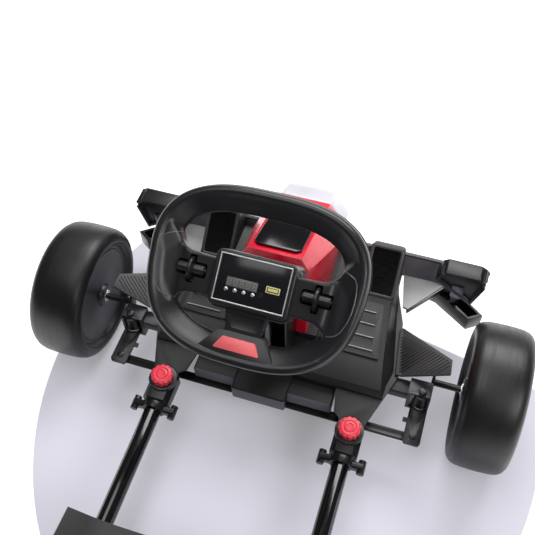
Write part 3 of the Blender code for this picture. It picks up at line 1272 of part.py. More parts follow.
def cushion(name, start, end, half_start, half_end, grooves):
    """A crowned pad along the seat's path, drawn in at its edges, with sewn channels across it."""
    rows, columns = 16, 8
    bm = bmesh.new()
    top, low = [], []
    for i in range(rows + 1):
        u = i / rows
        s = start + (end - start) * u
        place, up = seat_path(s)
        half = half_start + (half_end - half_start) * u
        half *= 1.0 - 0.05 * (1 - (2 * u - 1) ** 2)
        upper, under = [], []
        for k in range(columns + 1):
            t = -1 + 2 * k / columns
            crown = (1 - abs(t) ** 3.2) * (1 - abs(2 * u - 1) ** 5)
            channel = sum(max(0.0, 1 - abs(u - g) / 0.035) for g in grooves)
            height = 0.006 + (PAD_THICK - 0.006) * crown - PAD_GROOVE * channel * crown
            pull = 1.0 - 0.03 * (1 - abs(t)) * (1 if i in (0, rows) else 0)
            base = place + Vector((half * t * pull, 0, 0))
            upper.append(bm.verts.new(base + up * (GAP + height)))
            under.append(bm.verts.new(base + up * GAP))
        top.append(upper)
        low.append(under)
    for grid in (top, low):
        for i in range(rows):
            for k in range(columns):
                bm.faces.new((grid[i][k], grid[i][k + 1], grid[i + 1][k + 1], grid[i + 1][k]))
    for i in range(rows):
        for k in (0, columns):
            bm.faces.new((top[i][k], top[i + 1][k], low[i + 1][k], low[i][k]))
    for k in range(columns):
        for i in (0, rows):
            bm.faces.new((top[i][k], top[i][k + 1], low[i][k + 1], low[i][k]))
    return finish(from_bmesh(bm), name, LOOKS["seat_fabric"])


def cushions():
    pan, bend, total = seat_lengths()
    cushion("seat_cushion", 0.016, pan - 0.006, SEAT_HALF * 0.64, SEAT_HALF * 0.62, (0.36, 0.68))
    cushion("back_cushion", pan + bend + 0.012, total - 0.040, SEAT_HALF * 0.60, SEAT_TOP_HALF * 0.62,
            (0.30, 0.55, 0.78))


def lap_belt():
    """Webbing over the bolsters' edges and the cushion, with a buckle in the middle."""
    edges = [SEAT_FRONT_Y - BELT_Y - BELT_W / 2, SEAT_FRONT_Y - BELT_Y + BELT_W / 2]
    over = max(seat_path(s)[0].z for s in edges) + PAD_THICK + GAP * 2
    shoulder = max(seat_path(s)[0].z + bolster_rise(s) for s in edges) + GAP
    side_x = SEAT_HALF + SEAT_SHELL_T * 0.77 + GAP
    centre = [(side_x, SEAT_PAN_Z - SEAT_PAN_FALL), (side_x, shoulder - 0.001),
              (SEAT_HALF - 0.002, shoulder + 0.001), (SEAT_HALF * 0.86, shoulder - 0.006),
              (SEAT_HALF * 0.60, over + 0.001), (SEAT_HALF * 0.50, over)]
    outer = [(x + BELT_T, z) if i < 2 else (x, z + BELT_T) for i, (x, z) in enumerate(centre)]
    loop = outer + [(-x, z) for x, z in reversed(outer)]
    loop += [(-x, z) for x, z in centre] + [(x, z) for x, z in reversed(centre)]
    strap = plate(loop, BELT_Y - BELT_W / 2, BELT_Y + BELT_W / 2, "Y")
    buckle = box((-BUCKLE_W / 2, BUCKLE_W / 2), (BELT_Y - BELT_W * 0.62, BELT_Y + BELT_W * 0.62),
                 (over + 0.001, over + 0.012), 0.003)
    return finish(join(strap, buckle), "lap_belt", LOOKS["webbing"])


# Battery, control box and switches

def battery_parts():
    half_w, half_d = BATTERY_W / 2, BATTERY_D / 2
    inner_w, inner_d = half_w + BOX_CLEAR, half_d + BOX_CLEAR
    flange = RAIL_TOP + GAP
    top = flange + BOX_FLANGE_T
    floor = top - 0.004 - BATTERY_H
    reach = TUBE_X - RAIL_W / 2 + 0.008
    y = (BATTERY_Y - inner_d - BOX_WALL, BATTERY_Y + inner_d + BOX_WALL)
    tray = box((-inner_w - BOX_WALL, inner_w + BOX_WALL), y, (floor - BOX_WALL - GAP, top), 0.002)
    wings = box((-reach, reach), y, (flange, top))
    well = box((-inner_w, inner_w), (BATTERY_Y - inner_d, BATTERY_Y + inner_d), (floor - GAP, top + 0.01))
    finish(cut(join(tray, wings), well), "battery_box", LOOKS["black_plastic"])
    cell = box((-half_w, half_w), (BATTERY_Y - half_d, BATTERY_Y + half_d), (floor, floor + BATTERY_H), 0.002)
    posts = [box((side * half_w * 0.7 - 0.005, side * half_w * 0.7 + 0.005),
                 (BATTERY_Y + half_d * 0.6, BATTERY_Y + half_d * 0.6 + 0.006),
                 (floor + BATTERY_H - 0.001, floor + BATTERY_H + 0.005)) for side in (-1, 1)]
    finish(join(cell, *posts), "battery", LOOKS["grey_plastic"])


def control_box():
    """The switch box bolted to the right rail, with two rockers on top and the charging inlet."""
    inner = TUBE_X + RAIL_W / 2 + GAP
    near = SEAT_HALF + 0.014
    x = (near, near + CONTROL_W)
    y = (CONTROL_FRONT_Y - CONTROL_L, CONTROL_FRONT_Y)
    case = box(x, y, (CONTROL_LOW, CONTROL_TOP), 0.003)
    lug = box((inner, near + 0.008), (y[0] + 0.012, y[1] - 0.030),
              (CONTROL_LOW + 0.002, RAIL_TOP - 0.001), 0.001)
    middle = (x[0] + x[1]) / 2
    rocker_y = (y[1] - 0.026, y[1] - 0.060)
    tools = [box((middle - ROCKER_W / 2 - SLIP, middle + ROCKER_W / 2 + SLIP),
                 (ry - ROCKER_L / 2 - 0.001, ry + ROCKER_L / 2 + 0.001),
                 (CONTROL_TOP - ROCKER_DEPTH - 0.003, CONTROL_TOP + 0.01)) for ry in rocker_y]
    inlet_z = (CONTROL_LOW + CONTROL_TOP) / 2 - 0.004
    tools.append(rod((middle, y[1] - SOCKET_L, inlet_z), (middle, y[1] + 0.01, inlet_z), SOCKET_R + GAP, 20))
    finish(cut(join(case, lug), *tools), "control_box", LOOKS["black_plastic"])
    for name, ry in zip(("power_switch", "direction_switch"), rocker_y):
        pivot = (middle, ry, CONTROL_TOP - 0.004)
        lean = sin(radians(ROCKER_TILT)) * ROCKER_L / 2
        profile = [(ry - ROCKER_L / 2, CONTROL_TOP - lean * 0.4),
                   (ry - ROCKER_L * 0.3, CONTROL_TOP - ROCKER_DEPTH),
                   (ry + ROCKER_L * 0.3, CONTROL_TOP - ROCKER_DEPTH),
                   (ry + ROCKER_L / 2, CONTROL_TOP - lean * 0.4),
                   (ry + ROCKER_L / 2 - 0.001, CONTROL_TOP + 0.0025), (ry, CONTROL_TOP + 0.001),
                   (ry - ROCKER_L / 2 + 0.001, CONTROL_TOP + 0.0025)]
        rocker = plate(profile, middle - ROCKER_W / 2, middle + ROCKER_W / 2, "X")
        finish(rocker, name, LOOKS["red_plastic"], origin=pivot)
    socket = rod((middle, y[1] - SOCKET_L + GAP, inlet_z), (middle, y[1] + 0.0025, inlet_z), SOCKET_R, 20)
    inner_end = y[1] - SOCKET_L
    mouth = rod((middle, inner_end + 0.003, inlet_z), (middle, y[1] + 0.01, inlet_z), SOCKET_R * 0.66, 16)
    pin = rod((middle, inner_end + 0.001, inlet_z), (middle, y[1] - 0.001, inlet_z), SOCKET_R * 0.16, 10)
    finish(join(cut(socket, mouth), pin), "charge_socket", LOOKS["zinc_steel"])


clear_scene()
KART = collection("drift_kart")
LOOKS = {
    "black_plastic": material("black_plastic", (0.030, 0.030, 0.032), 0.45),
    "ribbed_plastic": material("ribbed_plastic", (0.045, 0.045, 0.046), 0.40),
    "gloss_black": material("gloss_black", (0.012, 0.012, 0.014), 0.20),
    "grey_plastic": material("grey_plastic", (0.08, 0.08, 0.085), 0.50),
    "red_plastic": material("red_plastic", (0.75, 0.010, 0.030), 0.25),
    "white_plastic": material("white_plastic", (0.75, 0.74, 0.78), 0.25),
    "chrome_plastic": material("chrome_plastic", (0.75, 0.75, 0.76), 0.15, 1.0),
    "display_face": material("display_face", (0.030, 0.032, 0.040), 0.30),
    "clear_lens": material("clear_lens", (0.80, 0.82, 0.85), 0.08),
    "black_steel": material("black_steel", (0.020, 0.020, 0.022), 0.40, 0.3),
    "zinc_steel": material("zinc_steel", (0.60, 0.60, 0.61), 0.30, 1.0),
    "tyre_rubber": material("tyre_rubber", (0.014, 0.014, 0.015), 0.42),
    "hub_plastic": material("hub_plastic", (0.018, 0.017, 0.026), 0.38),
    "seat_fabric": material("seat_fabric", (0.035, 0.035, 0.038), 0.85),
    "webbing": material("webbing", (0.020, 0.020, 0.022), 0.80),
}
STEERING = wheel_axis()

wheels()
for SIDE in (-1, 1):
    knuckle(SIDE)
    kingpin(SIDE)
    side_step(SIDE)
    headlamp(SIDE)
    tube_clamp(SIDE)
    clamp_knob(SIDE)
    frame_tube(SIDE)
    gearbox(SIDE)
front_axle_beam()
tie_rod()
steering_spindle()
column_bracket()
front_body()
nose_cowl()
cowl_panel()
nose_cap()
front_bumper()
pedal(-1, "brake_pedal")
pedal(1, "accelerator_pedal")
steering_wheel(STEERING)
wheel_fittings(STEERING)
steering_shaft(STEERING)
rear_frame()
rear_axle()
rear_bumper()
seat_shell()
cushions()
lap_belt()
battery_parts()
control_box()
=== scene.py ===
"""A child's electric drift kart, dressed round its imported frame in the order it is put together."""

import json
import math

import bpy
from mathutils import Matrix, Vector

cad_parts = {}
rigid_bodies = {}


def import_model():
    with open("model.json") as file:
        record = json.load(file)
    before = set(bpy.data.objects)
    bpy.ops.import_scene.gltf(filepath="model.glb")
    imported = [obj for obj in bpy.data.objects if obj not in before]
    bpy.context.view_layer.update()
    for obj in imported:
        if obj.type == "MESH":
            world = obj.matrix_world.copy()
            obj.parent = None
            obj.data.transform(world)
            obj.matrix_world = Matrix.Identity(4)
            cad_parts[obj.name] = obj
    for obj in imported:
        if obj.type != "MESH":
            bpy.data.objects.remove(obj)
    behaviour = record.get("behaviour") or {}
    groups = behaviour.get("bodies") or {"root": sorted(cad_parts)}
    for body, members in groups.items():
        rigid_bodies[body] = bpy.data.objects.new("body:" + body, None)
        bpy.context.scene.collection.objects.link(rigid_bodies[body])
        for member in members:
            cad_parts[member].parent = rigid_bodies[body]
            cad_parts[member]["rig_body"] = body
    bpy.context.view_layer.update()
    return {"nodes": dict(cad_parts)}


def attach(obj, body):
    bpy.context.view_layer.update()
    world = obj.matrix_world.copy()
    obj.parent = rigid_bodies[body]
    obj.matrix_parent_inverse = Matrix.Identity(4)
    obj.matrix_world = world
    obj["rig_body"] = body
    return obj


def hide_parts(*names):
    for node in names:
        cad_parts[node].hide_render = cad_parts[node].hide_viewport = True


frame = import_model()
cad = frame["nodes"]


# The camera stands behind the seat and looks down over the steering wheel on to the front end.
# Its place and lens were solved from the photograph.

CAMERA_AT = Vector((0.1915, -0.283, 1.1328))
CAMERA_RIGHT = Vector((0.9520, 0.3048, -0.0232))
CAMERA_UP = Vector((-0.2360, 0.7812, 0.5778))
CAMERA_LENS = 53.27
SENSOR = 36.0
CLIP_START = 0.02


def placed(name, data):
    """An object made from its data and put in the scene."""
    made = bpy.data.objects.new(name, data)
    bpy.context.scene.collection.objects.link(made)
    return made


lens = bpy.data.cameras.new("camera")
lens.lens = CAMERA_LENS
lens.sensor_width = SENSOR
lens.clip_start = CLIP_START
camera = placed("camera", lens)
back = CAMERA_RIGHT.cross(CAMERA_UP).normalized()
turn = Matrix((CAMERA_RIGHT, CAMERA_UP, back)).transposed().to_4x4()
camera.matrix_world = Matrix.Translation(CAMERA_AT) @ turn
bpy.context.scene.camera = camera
bpy.context.scene.view_settings.view_transform = "Standard"


# The studio is a white room: a large soft key lamp beyond the nose, a weaker one overhead and a fill
# on the right. The floor is white paper, with a pale lavender round under the kart for its shadow.

WHITE = "ffffff"
PAPER = "f4f4f6"
PAPER_GLOW = 0.7
LAVENDER = "d6d4e2"
LAVENDER_GLOW = 0.24
ROUND_AT = (0.03, 0.25)
ROUND_HALVES = (0.386, 0.451)
ROUND_FRONT = 0.45
ROUND_SLOPE = 0.20
ROUND_LIFT = 0.0004
FLOOR_HALF = 6.0
ROOM_LIGHT = 0.11


def linear(code):
    """An sRGB hex colour as linear red, green, blue and full alpha."""
    parts = [int(code[i:i + 2], 16) / 255 for i in (0, 2, 4)]
    return tuple([v / 12.92 if v <= 0.04045 else ((v + 0.055) / 1.055) ** 2.4 for v in parts] + [1.0])


def add(tree, kind, settings=None, links=None):
    """Adds a node, sets its sockets or properties, and links its inputs to sockets or first outputs."""
    made = tree.nodes.new("ShaderNode" + kind)
    for name, value in (settings or {}).items():
        if isinstance(name, int) or name in made.inputs:
            made.inputs[name].default_value = value
        else:
            setattr(made, name, value)
    for name, source in (links or {}).items():
        tree.links.new(source.outputs[0] if hasattr(source, "outputs") else source, made.inputs[name])
    return made


def new_material(name):
    """An empty material, its node tree, and the link that lays a pattern on the piece."""
    look = bpy.data.materials.new(name)
    look.use_nodes = True
    look.node_tree.nodes.clear()
    return look, look.node_tree, {"Vector": add(look.node_tree, "TexCoord").outputs["Object"]}


def paper(name, colour, glow):
    """Matt paper that keeps a shadow; glow lifts what the camera sees of it towards white."""
    look, tree, _ = new_material(name)
    matt = add(tree, "BsdfDiffuse", {"Color": linear(colour), "Roughness": 1.0})
    seen = add(tree, "LightPath")
    shown = add(tree, "Emission", {"Color": linear(WHITE), "Strength": glow})
    lit = add(tree, "AddShader", {}, {0: matt, 1: shown})
    pick = add(tree, "Math", {"operation": "MAXIMUM"},
               {0: seen.outputs["Is Camera Ray"], 1: seen.outputs["Is Glossy Ray"]})
    top = add(tree, "MixShader", {}, {0: pick, 1: matt, 2: lit})
    add(tree, "OutputMaterial", {}, {"Surface": top})
    return look


def circle(radius, count, at=(0.0, 0.0), tall=None):
    """Points round a circle, or round an ellipse when its other half is given too."""
    turns = [i * math.tau / count for i in range(count)]
    return [(at[0] + radius * math.cos(t), at[1] + (tall or radius) * math.sin(t)) for t in turns]


def filled(points, height):
    """A flat face with the given outline."""
    mesh = bpy.data.meshes.new("flat")
    mesh.from_pydata([(x, y, height) for x, y in points], [], [list(range(len(points)))])
    return placed("flat", mesh)


def flat_sheet(name, points, height, look):
    """A flat stage sheet from its outline."""
    sheet = filled(points, height)
    sheet.name = sheet.data.name = name
    sheet.data.materials.append(look)


def lamp(name, at, aim, size, watts):
    """A soft square lamp that looks at a point."""
    light = bpy.data.lights.new(name, "AREA")
    light.shape = "RECTANGLE"
    light.size, light.size_y = size
    light.energy = watts
    holder = placed(name, light)
    holder.location = at
    holder.rotation_euler = (Vector(aim) - Vector(at)).to_track_quat("-Z", "Y").to_euler()


corner = FLOOR_HALF
flat_sheet("floor", [(-corner, -corner), (corner, -corner), (corner, corner), (-corner, corner)],
           0.0, paper("white_paper", PAPER, PAPER_GLOW))
rim = [(x, min(y, ROUND_FRONT - ROUND_SLOPE * x))
       for x, y in circle(ROUND_HALVES[0], 96, ROUND_AT, ROUND_HALVES[1])]
flat_sheet("floor_round", rim, ROUND_LIFT, paper("lavender_paper", LAVENDER, LAVENDER_GLOW))

world = bpy.data.worlds.new("studio")
bpy.context.scene.world = world
world.use_nodes = True
air = world.node_tree
air.nodes.clear()
rays = add(air, "LightPath")
room = add(air, "Background", {"Color": linear(WHITE), "Strength": ROOM_LIGHT})
blank = add(air, "Background", {"Color": linear(WHITE), "Strength": 1.0})
sight = add(air, "Math", {"operation": "MAXIMUM"},
            {0: rays.outputs["Is Camera Ray"], 1: rays.outputs["Is Transmission Ray"]})
mixed = add(air, "MixShader", {}, {0: sight, 1: room, 2: blank})
add(air, "OutputWorld", {}, {"Surface": mixed})

lamp("key", (0.25, 1.9, 1.9), (0.0, 0.2, 0.15), (2.0, 1.3), 52)
lamp("overhead", (-0.3, 0.1, 2.4), (0.0, 0.1, 0.1), (1.6, 1.2), 16)
lamp("right_fill", (1.3, -0.5, 1.5), (0.0, 0.2, 0.30), (1.0, 0.8), 13)


# The front body is one big polypropylene moulding with grained foot panels and pedal pockets.
# It is injection-moulded, so every edge is rounded and the flats show a soft grey satin sheen.
# Its mould grain is really about 0.3 mm, and is drawn at 1.1 mm so that it shows in the render.

GRAIN = 0.0011
BODY_EDGE = 0.0016
POCKET_FOOT = Vector((0.128, 0.375, 0.142))
POCKET_SLOPE = math.radians(45.3)
POCKET_NORMAL = Vector((0, -math.sin(POCKET_SLOPE), math.cos(POCKET_SLOPE)))
POCKET_CORNER = 0.0065
POCKET_X = (0.100, 0.156)
POCKET_BACK = 0.36
POCKET_LOW = 0.147
LEDGE_TOP = 0.0985
LEDGE_FRONT = 0.2100
MERGE = 0.00001


def toned(colour, factor):
    """A hex colour made linear and then darker or paler."""
    return [min(1.0, v * factor) for v in linear(colour)[:3]] + [1.0]


def covered(tree, colours, tone, height, bump, settings, links):
    """Two colours mixed by a tone and a bump from a height, in one shader joined to the output."""
    shade = add(tree, "Mix", {"data_type": "RGBA", 6: colours[0], 7: colours[1]}, {0: tone})
    normal = add(tree, "Bump", {"Strength": bump[0], "Distance": bump[1]}, {"Height": height})
    skin = add(tree, "BsdfPrincipled", settings,
               {"Base Color": shade.outputs[2], "Normal": normal, **links})
    add(tree, "OutputMaterial", {}, {"Surface": skin})


def moulded(name, colour, rough, grain=0.06, coat=0.0, vary=0.25, pitch=GRAIN):
    """Moulded plastic: fine grain in the bump, and slow changes of polish and shade."""
    look, tree, here = new_material(name)
    fine = add(tree, "TexNoise", {"Scale": 1 / pitch, "Detail": 3.0}, here)
    slow = add(tree, "TexNoise", {"Scale": 22.0, "Detail": 4.0}, here)
    polish = add(tree, "MapRange", {"To Min": rough * (1 - vary), "To Max": rough * (1 + vary)},
                 {"Value": slow.outputs["Fac"]})
    covered(tree, (toned(colour, 0.80), toned(colour, 1.20)), slow.outputs["Fac"], fine.outputs["Fac"],
            (grain, 0.0004), {"IOR": 1.49, "Coat Weight": coat, "Coat Roughness": 0.06},
            {"Roughness": polish})
    return look


def alone(piece):
    """Selects one piece and nothing else."""
    bpy.ops.object.select_all(action="DESELECT")
    bpy.context.view_layer.objects.active = piece
    piece.select_set(True)
    return piece


def modified(piece, kind, **settings):
    """Adds a modifier with its settings and applies it."""
    alone(piece)
    change = piece.modifiers.new("change", kind)
    for name, value in settings.items():
        setattr(change, name, value)
    bpy.ops.object.modifier_apply(modifier=change.name)
    return piece


def rounded(piece, width, steps=3, angle=28.0):
    """Rounds the edges that are sharper than the angle."""
    return modified(piece, "BEVEL", width=width, segments=steps, limit_method="ANGLE",
                    angle_limit=math.radians(angle), use_clamp_overlap=True)


def finished(piece, name, body, look, slot, *nodes, sharp=34.0):
    """Shades a piece smooth but over sharp edges, gives it its name, material and body, and hides the nodes
    it stands for.
    """
    alone(piece)
    bpy.ops.object.shade_smooth_by_angle(angle=math.radians(sharp))
    piece.name = name
    piece.data.name = name
    piece.data.materials.clear()
    piece.data.materials.append(look)
    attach(piece, body)
    if nodes:
        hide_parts(*nodes)
    return piece


def skinned(piece, node, look, slot, sharp=34.0):
    """Finishes a piece that stands for one CAD node, on that node's body."""
    return finished(piece, node + "_skin", cad[node]["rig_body"], look, slot, node, sharp=sharp)


def worked(piece, *changes):
    """Runs edit-mode operators, each a name and its settings, on the whole of a piece."""
    alone(piece)
    bpy.ops.object.mode_set(mode="EDIT")
    for name, settings in changes:
        bpy.ops.mesh.select_all(action="SELECT")
        getattr(bpy.ops.mesh, name)(**settings)
    bpy.ops.object.mode_set(mode="OBJECT")
    return piece


def solid_copy(name):
    """A copy of a CAD node as one clean shell, its flat faces joined."""
    return worked(placed(name, cad[name].data.copy()), ("customdata_custom_splitnormals_clear", {}),
                  ("remove_doubles", {"threshold": MERGE}), ("normals_make_consistent", {"inside": False}),
                  ("dissolve_limited", {"angle_limit": math.radians(1.0), "use_dissolve_boundaries": False}))


def picked(piece, kind, test, change, **settings):
    """Selects the points, or the edges by both ends, that pass a test and runs one operator on them."""
    alone(piece)
    bpy.ops.object.mode_set(mode="EDIT")
    bpy.ops.mesh.select_mode(type=kind)
    bpy.ops.mesh.select_all(action="DESELECT")
    bpy.ops.object.mode_set(mode="OBJECT")
    points = piece.data.vertices
    for part in points if kind == "VERT" else piece.data.edges:
        part.select = test(*[points[i].co for i in getattr(part, "vertices", (part.index,))])
    bpy.ops.object.mode_set(mode="EDIT")
    bpy.ops.mesh.select_mode(type=kind)
    change(**settings)
    bpy.ops.object.mode_set(mode="OBJECT")
    return piece


def bevelled(piece, offset, segments, test, **settings):
    """Bevels the edges whose two ends pass a test."""
    return picked(piece, "EDGE", test, bpy.ops.mesh.bevel, offset=offset, segments=segments, affect="EDGES",
                  **settings)


def pocket_corner(a, b):
    """Whether an edge runs straight out of a pedal pocket at one of its corners."""
    return (min(a.y, b.y) > POCKET_BACK and (b - a).length > 0.008
            and abs((b - a).normalized().dot(POCKET_NORMAL)) > 0.995
            and POCKET_X[0] < abs(a.x) < POCKET_X[1] and a.z > POCKET_LOW)


body_plastic = moulded("satin_polypropylene", "18181a", 0.50, grain=0.10)
body = bevelled(solid_copy("front_body"), POCKET_CORNER, 5, pocket_corner, clamp_overlap=True)
skinned(rounded(body, BODY_EDGE, 3), "front_body", body_plastic, "black_plastic")
# The ledge's faces that look back towards the seat get a pale grey, a painted light for the light those faces
# catch.
body.data.materials.append(moulded("painted_light_ledge_polypropylene", "66646b", 0.58, grain=0.14))
for face in body.data.polygons:
    spot = face.center
    if face.normal.y < -0.6 and face.area > 0.00002 and spot.z < LEDGE_TOP and spot.y < LEDGE_FRONT:
        face.material_index = 1


# Four low bars are moulded on each foot panel. They are painted pale grey, a painted highlight, so they read
# as thin bright lines.

SIDES = ((-1, "left"), (1, "right"))
UP = Vector((0, 0, 1))
RIDGE_FIRST_Y = 0.2865
RIDGE_PITCH = 0.0200
RIDGE_COUNT = 4
RIDGE_LONG = 0.0520
FOOT_EDGE, FOOT_EDGE_Y, FOOT_TAPER = 0.153, 0.278, (0.012, 0.086)
FOOT_TOP, FOOT_TOP_Y, FOOT_RISE = 0.1292, 0.250, 0.1172


def block(x, y, z):
    """A cube primitive between the given limits, ready to be shaped."""
    bpy.ops.object.select_all(action="DESELECT")
    middle = [(a + b) / 2 for a, b in (x, y, z)]
    bpy.ops.mesh.primitive_cube_add(size=1, location=middle, scale=[b - a for a, b in (x, y, z)])
    bpy.ops.object.transform_apply(location=True, rotation=True, scale=True)
    return bpy.context.object


def as_one(first, *others):
    """Joins pieces into the first one."""
    alone(first)
    for other in others:
        other.select_set(True)
    bpy.ops.object.join()
    return first


def repeated(piece, places):
    """Copies a piece to each place and joins the copies into one mesh."""
    twins = []
    for place in places[1:]:
        twin = placed(piece.name, piece.data.copy())
        twin.data.transform(place)
        twins.append(twin)
    piece.data.transform(places[0])
    return as_one(piece, *twins)


def laid(start, end):
    """The place of a bar one metre long, stretched between two points."""
    along = end - start
    side = UP.cross(along).normalized()
    top = along.normalized().cross(side)
    turn = Matrix((along, side, top)).transposed().to_4x4()
    return Matrix.Translation((start + end) / 2) @ turn


def bars(half_wide, half_high, bevel, steps, places):
    """Low bars with softened tops, one stretched to each place."""
    bar = block((-0.5, 0.5), (-half_wide, half_wide), (-half_high, half_high))
    bevelled(bar, bevel, steps, lambda a, b: a.z > 0 and b.z > 0 and abs(a.y - b.y) < 0.0001)
    return repeated(bar, places)


# The ridges' pale grey is a painted highlight.
ridge_highlight_plastic = moulded("painted_highlight_ridges", "a2a2a4", 0.28, grain=0.02)
for side, word in SIDES:
    places = []
    for i in range(RIDGE_COUNT):
        y = RIDGE_FIRST_Y + i * RIDGE_PITCH + 0.0011
        end = FOOT_EDGE - FOOT_TAPER[0] * (y - FOOT_EDGE_Y) / FOOT_TAPER[1] - 0.010
        z = FOOT_TOP + (y - FOOT_TOP_Y) * FOOT_RISE
        places.append(laid(Vector((side * (end - RIDGE_LONG), y, z)), Vector((side * end, y, z))))
    finished(bars(0.0009, 0.0010, 0.0008, 3, places), "foot_ridges_" + word, "front_frame",
             ridge_highlight_plastic, "black_plastic")


# The side steps are separate ribbed plates that slope up from the body to beside each wheel.
# Their tops carry fine slanting ribs inside a smooth border, all in one grained moulding.

STEP_OUTLINE = [(0.1865, 0.2775), (0.2520, 0.2775), (0.2505, 0.2945), (0.1765, 0.3445), (0.1755, 0.3380)]
STEP_RIB_TURN = math.radians(36)
STEP_RIB_FIRST = 0.085
STEP_RIB_PITCH = 0.0046
STEP_RIB_COUNT = 22
STEP_RIB_MIN = 0.006


def softened(name, look, slot, width=0.0012, steps=2, angle=28.0, sharp=None):
    """A CAD node with its edges rounded as a mould, a press or paint leaves them."""
    return skinned(rounded(solid_copy(name), width, steps, angle), name, look, slot, sharp or angle + 6)


step_plastic = moulded("grained_polypropylene", "303032", 0.48, grain=0.16)
rib_plastic = moulded("step_ribs", "363638", 0.42, grain=0.05)
along = Vector((math.cos(STEP_RIB_TURN), math.sin(STEP_RIB_TURN)))
across = Vector((-along.y, along.x))
for side, word in SIDES:
    step = softened("side_step_" + word, step_plastic, "ribbed_plastic", 0.0010)
    bpy.context.view_layer.update()
    places = []
    for i in range(STEP_RIB_COUNT):
        level = STEP_RIB_FIRST + i * STEP_RIB_PITCH
        ends = []
        for a, b in zip(STEP_OUTLINE, STEP_OUTLINE[1:] + STEP_OUTLINE[:1]):
            near, far = Vector(a).dot(across) - level, Vector(b).dot(across) - level
            if near * far < 0:
                ends.append(Vector(a).lerp(Vector(b), near / (near - far)))
        if len(ends) < 2 or (ends[1] - ends[0]).length < STEP_RIB_MIN:
            continue
        ends.sort(key=lambda p: p.x)
        hits = [step.ray_cast(Vector((side * p.x, p.y, 0.3)), -UP) for p in (ends[0], ends[-1])]
        if all(hit[0] and hit[1].z > 0.1 for hit in hits):
            places.append(laid(hits[0][1], hits[1][1]))
    finished(bars(0.0010, 0.0006, 0.0007, 2, places), "step_ribs_" + word, "front_frame",
             rib_plastic, "ribbed_plastic")


# The cowl over the middle is gloss red ABS with flat facets and soft edges. A black gloss panel
# with round corners stands on its back, and a pale frosted cap closes the nose.

PANEL_SLOPE = math.atan2(0.0605, 0.1482)
PANEL_NORMAL = Vector((0, math.sin(PANEL_SLOPE), math.cos(PANEL_SLOPE)))
PANEL_CORNER = 0.0075

red_abs = moulded("gloss_red_abs", "e4062f", 0.26, grain=0.01, coat=0.20)
gloss_abs = moulded("gloss_black_abs", "0c0c0f", 0.14, grain=0.01, vary=0.4)
frosted = moulded("frosted_white_abs", "dddbe4", 0.22, grain=0.01, coat=0.3)
softened("nose_cowl", red_abs, "red_plastic", 0.0035, 4, 18)
panel = bevelled(solid_copy("cowl_panel"), PANEL_CORNER, 6,
                 lambda a, b: abs((b - a).normalized().dot(PANEL_NORMAL)) > 0.97)
skinned(rounded(panel, 0.0013, 3), "cowl_panel", gloss_abs, "gloss_black")
softened("nose_cap", frosted, "white_plastic", 0.0040, 4, 18)


# The pedals are gloss black plates with round corners, a raised edge and a ledge along the top.
# They hinge at their feet inside the pockets, and a lip runs round each pocket's mouth. The lips and a bead
# along each pedal's edge are painted grey, a painted highlight for the light on their rounded rims.

PEDAL_HALF = 0.0178
PEDAL_LOW, PEDAL_HIGH = 0.0072, 0.0708
PEDAL_BACK, PEDAL_TOP = -0.0120, -0.0060
PEDAL_EDGE_IN = 0.0014


def rounded_outline(half, low, high, corner, steps=6):
    """The outline of a rectangle with round corners."""
    points = []
    for cx, cy, start in ((half - corner, high - corner, 0), (-half + corner, high - corner, 90),
                          (-half + corner, low + corner, 180), (half - corner, low + corner, 270)):
        for k in range(steps + 1):
            a = math.radians(start + 90 * k / steps)
            points.append((cx + corner * math.cos(a), cy + corner * math.sin(a)))
    return points


def in_mm(points):
    """Points written in millimetres, in metres."""
    return [tuple(v / 1000 for v in point) for point in points]


def plate(points, low, high):
    """An outline filled and drawn up into a plate."""
    return worked(filled(points, low),
                  ("extrude_region_move", {"TRANSFORM_OT_translate": {"value": (0, 0, high - low)}}),
                  ("normals_make_consistent", {"inside": False}))


def box_between(x, y, z, edge, steps=2):
    """A block with rounded edges."""
    return rounded(block(x, y, z), edge, steps)


def turned(profile, at=(0, 0, 0), steps=48, axis=(1, 0, 0)):
    """A profile of (along, out) spun round an axis through a point."""
    along = Vector(axis)
    out = UP if abs(along.z) < 0.9 else Vector((1, 0, 0))
    at = Vector(at)
    mesh = bpy.data.meshes.new("turned")
    mesh.from_pydata([at + along * a + out * r for a, r in profile],
                     [(i, i + 1) for i in range(len(profile) - 1)], [])
    spin = {"steps": steps, "angle": math.tau, "center": at, "axis": along}
    return worked(placed("turned", mesh), ("spin", spin), ("remove_doubles", {"threshold": MERGE * 2}),
                  ("normals_make_consistent", {"inside": False}))


def outline_curve(points):
    """A closed flat curve through points."""
    line = bpy.data.curves.new("outline", "CURVE")
    line.dimensions = "2D"
    line.fill_mode = "NONE"
    spline = line.splines.new("POLY")
    spline.points.add(len(points) - 1)
    for point, (x, y) in zip(spline.points, points):
        point.co = (x, y, 0.0, 1.0)
    spline.use_cyclic_u = True
    return placed("outline", line)


def swept(path, section):
    """A section (outward, up) in millimetres, carried round a closed path and made a mesh."""
    ring = outline_curve(path)
    profile = outline_curve([(-x, y) for x, y in in_mm(section)])
    ring.data.bevel_mode = "OBJECT"
    ring.data.bevel_object = profile
    alone(ring)
    bpy.ops.object.convert(target="MESH")
    bpy.data.objects.remove(profile)
    return worked(ring, ("normals_make_consistent", {"inside": False}))
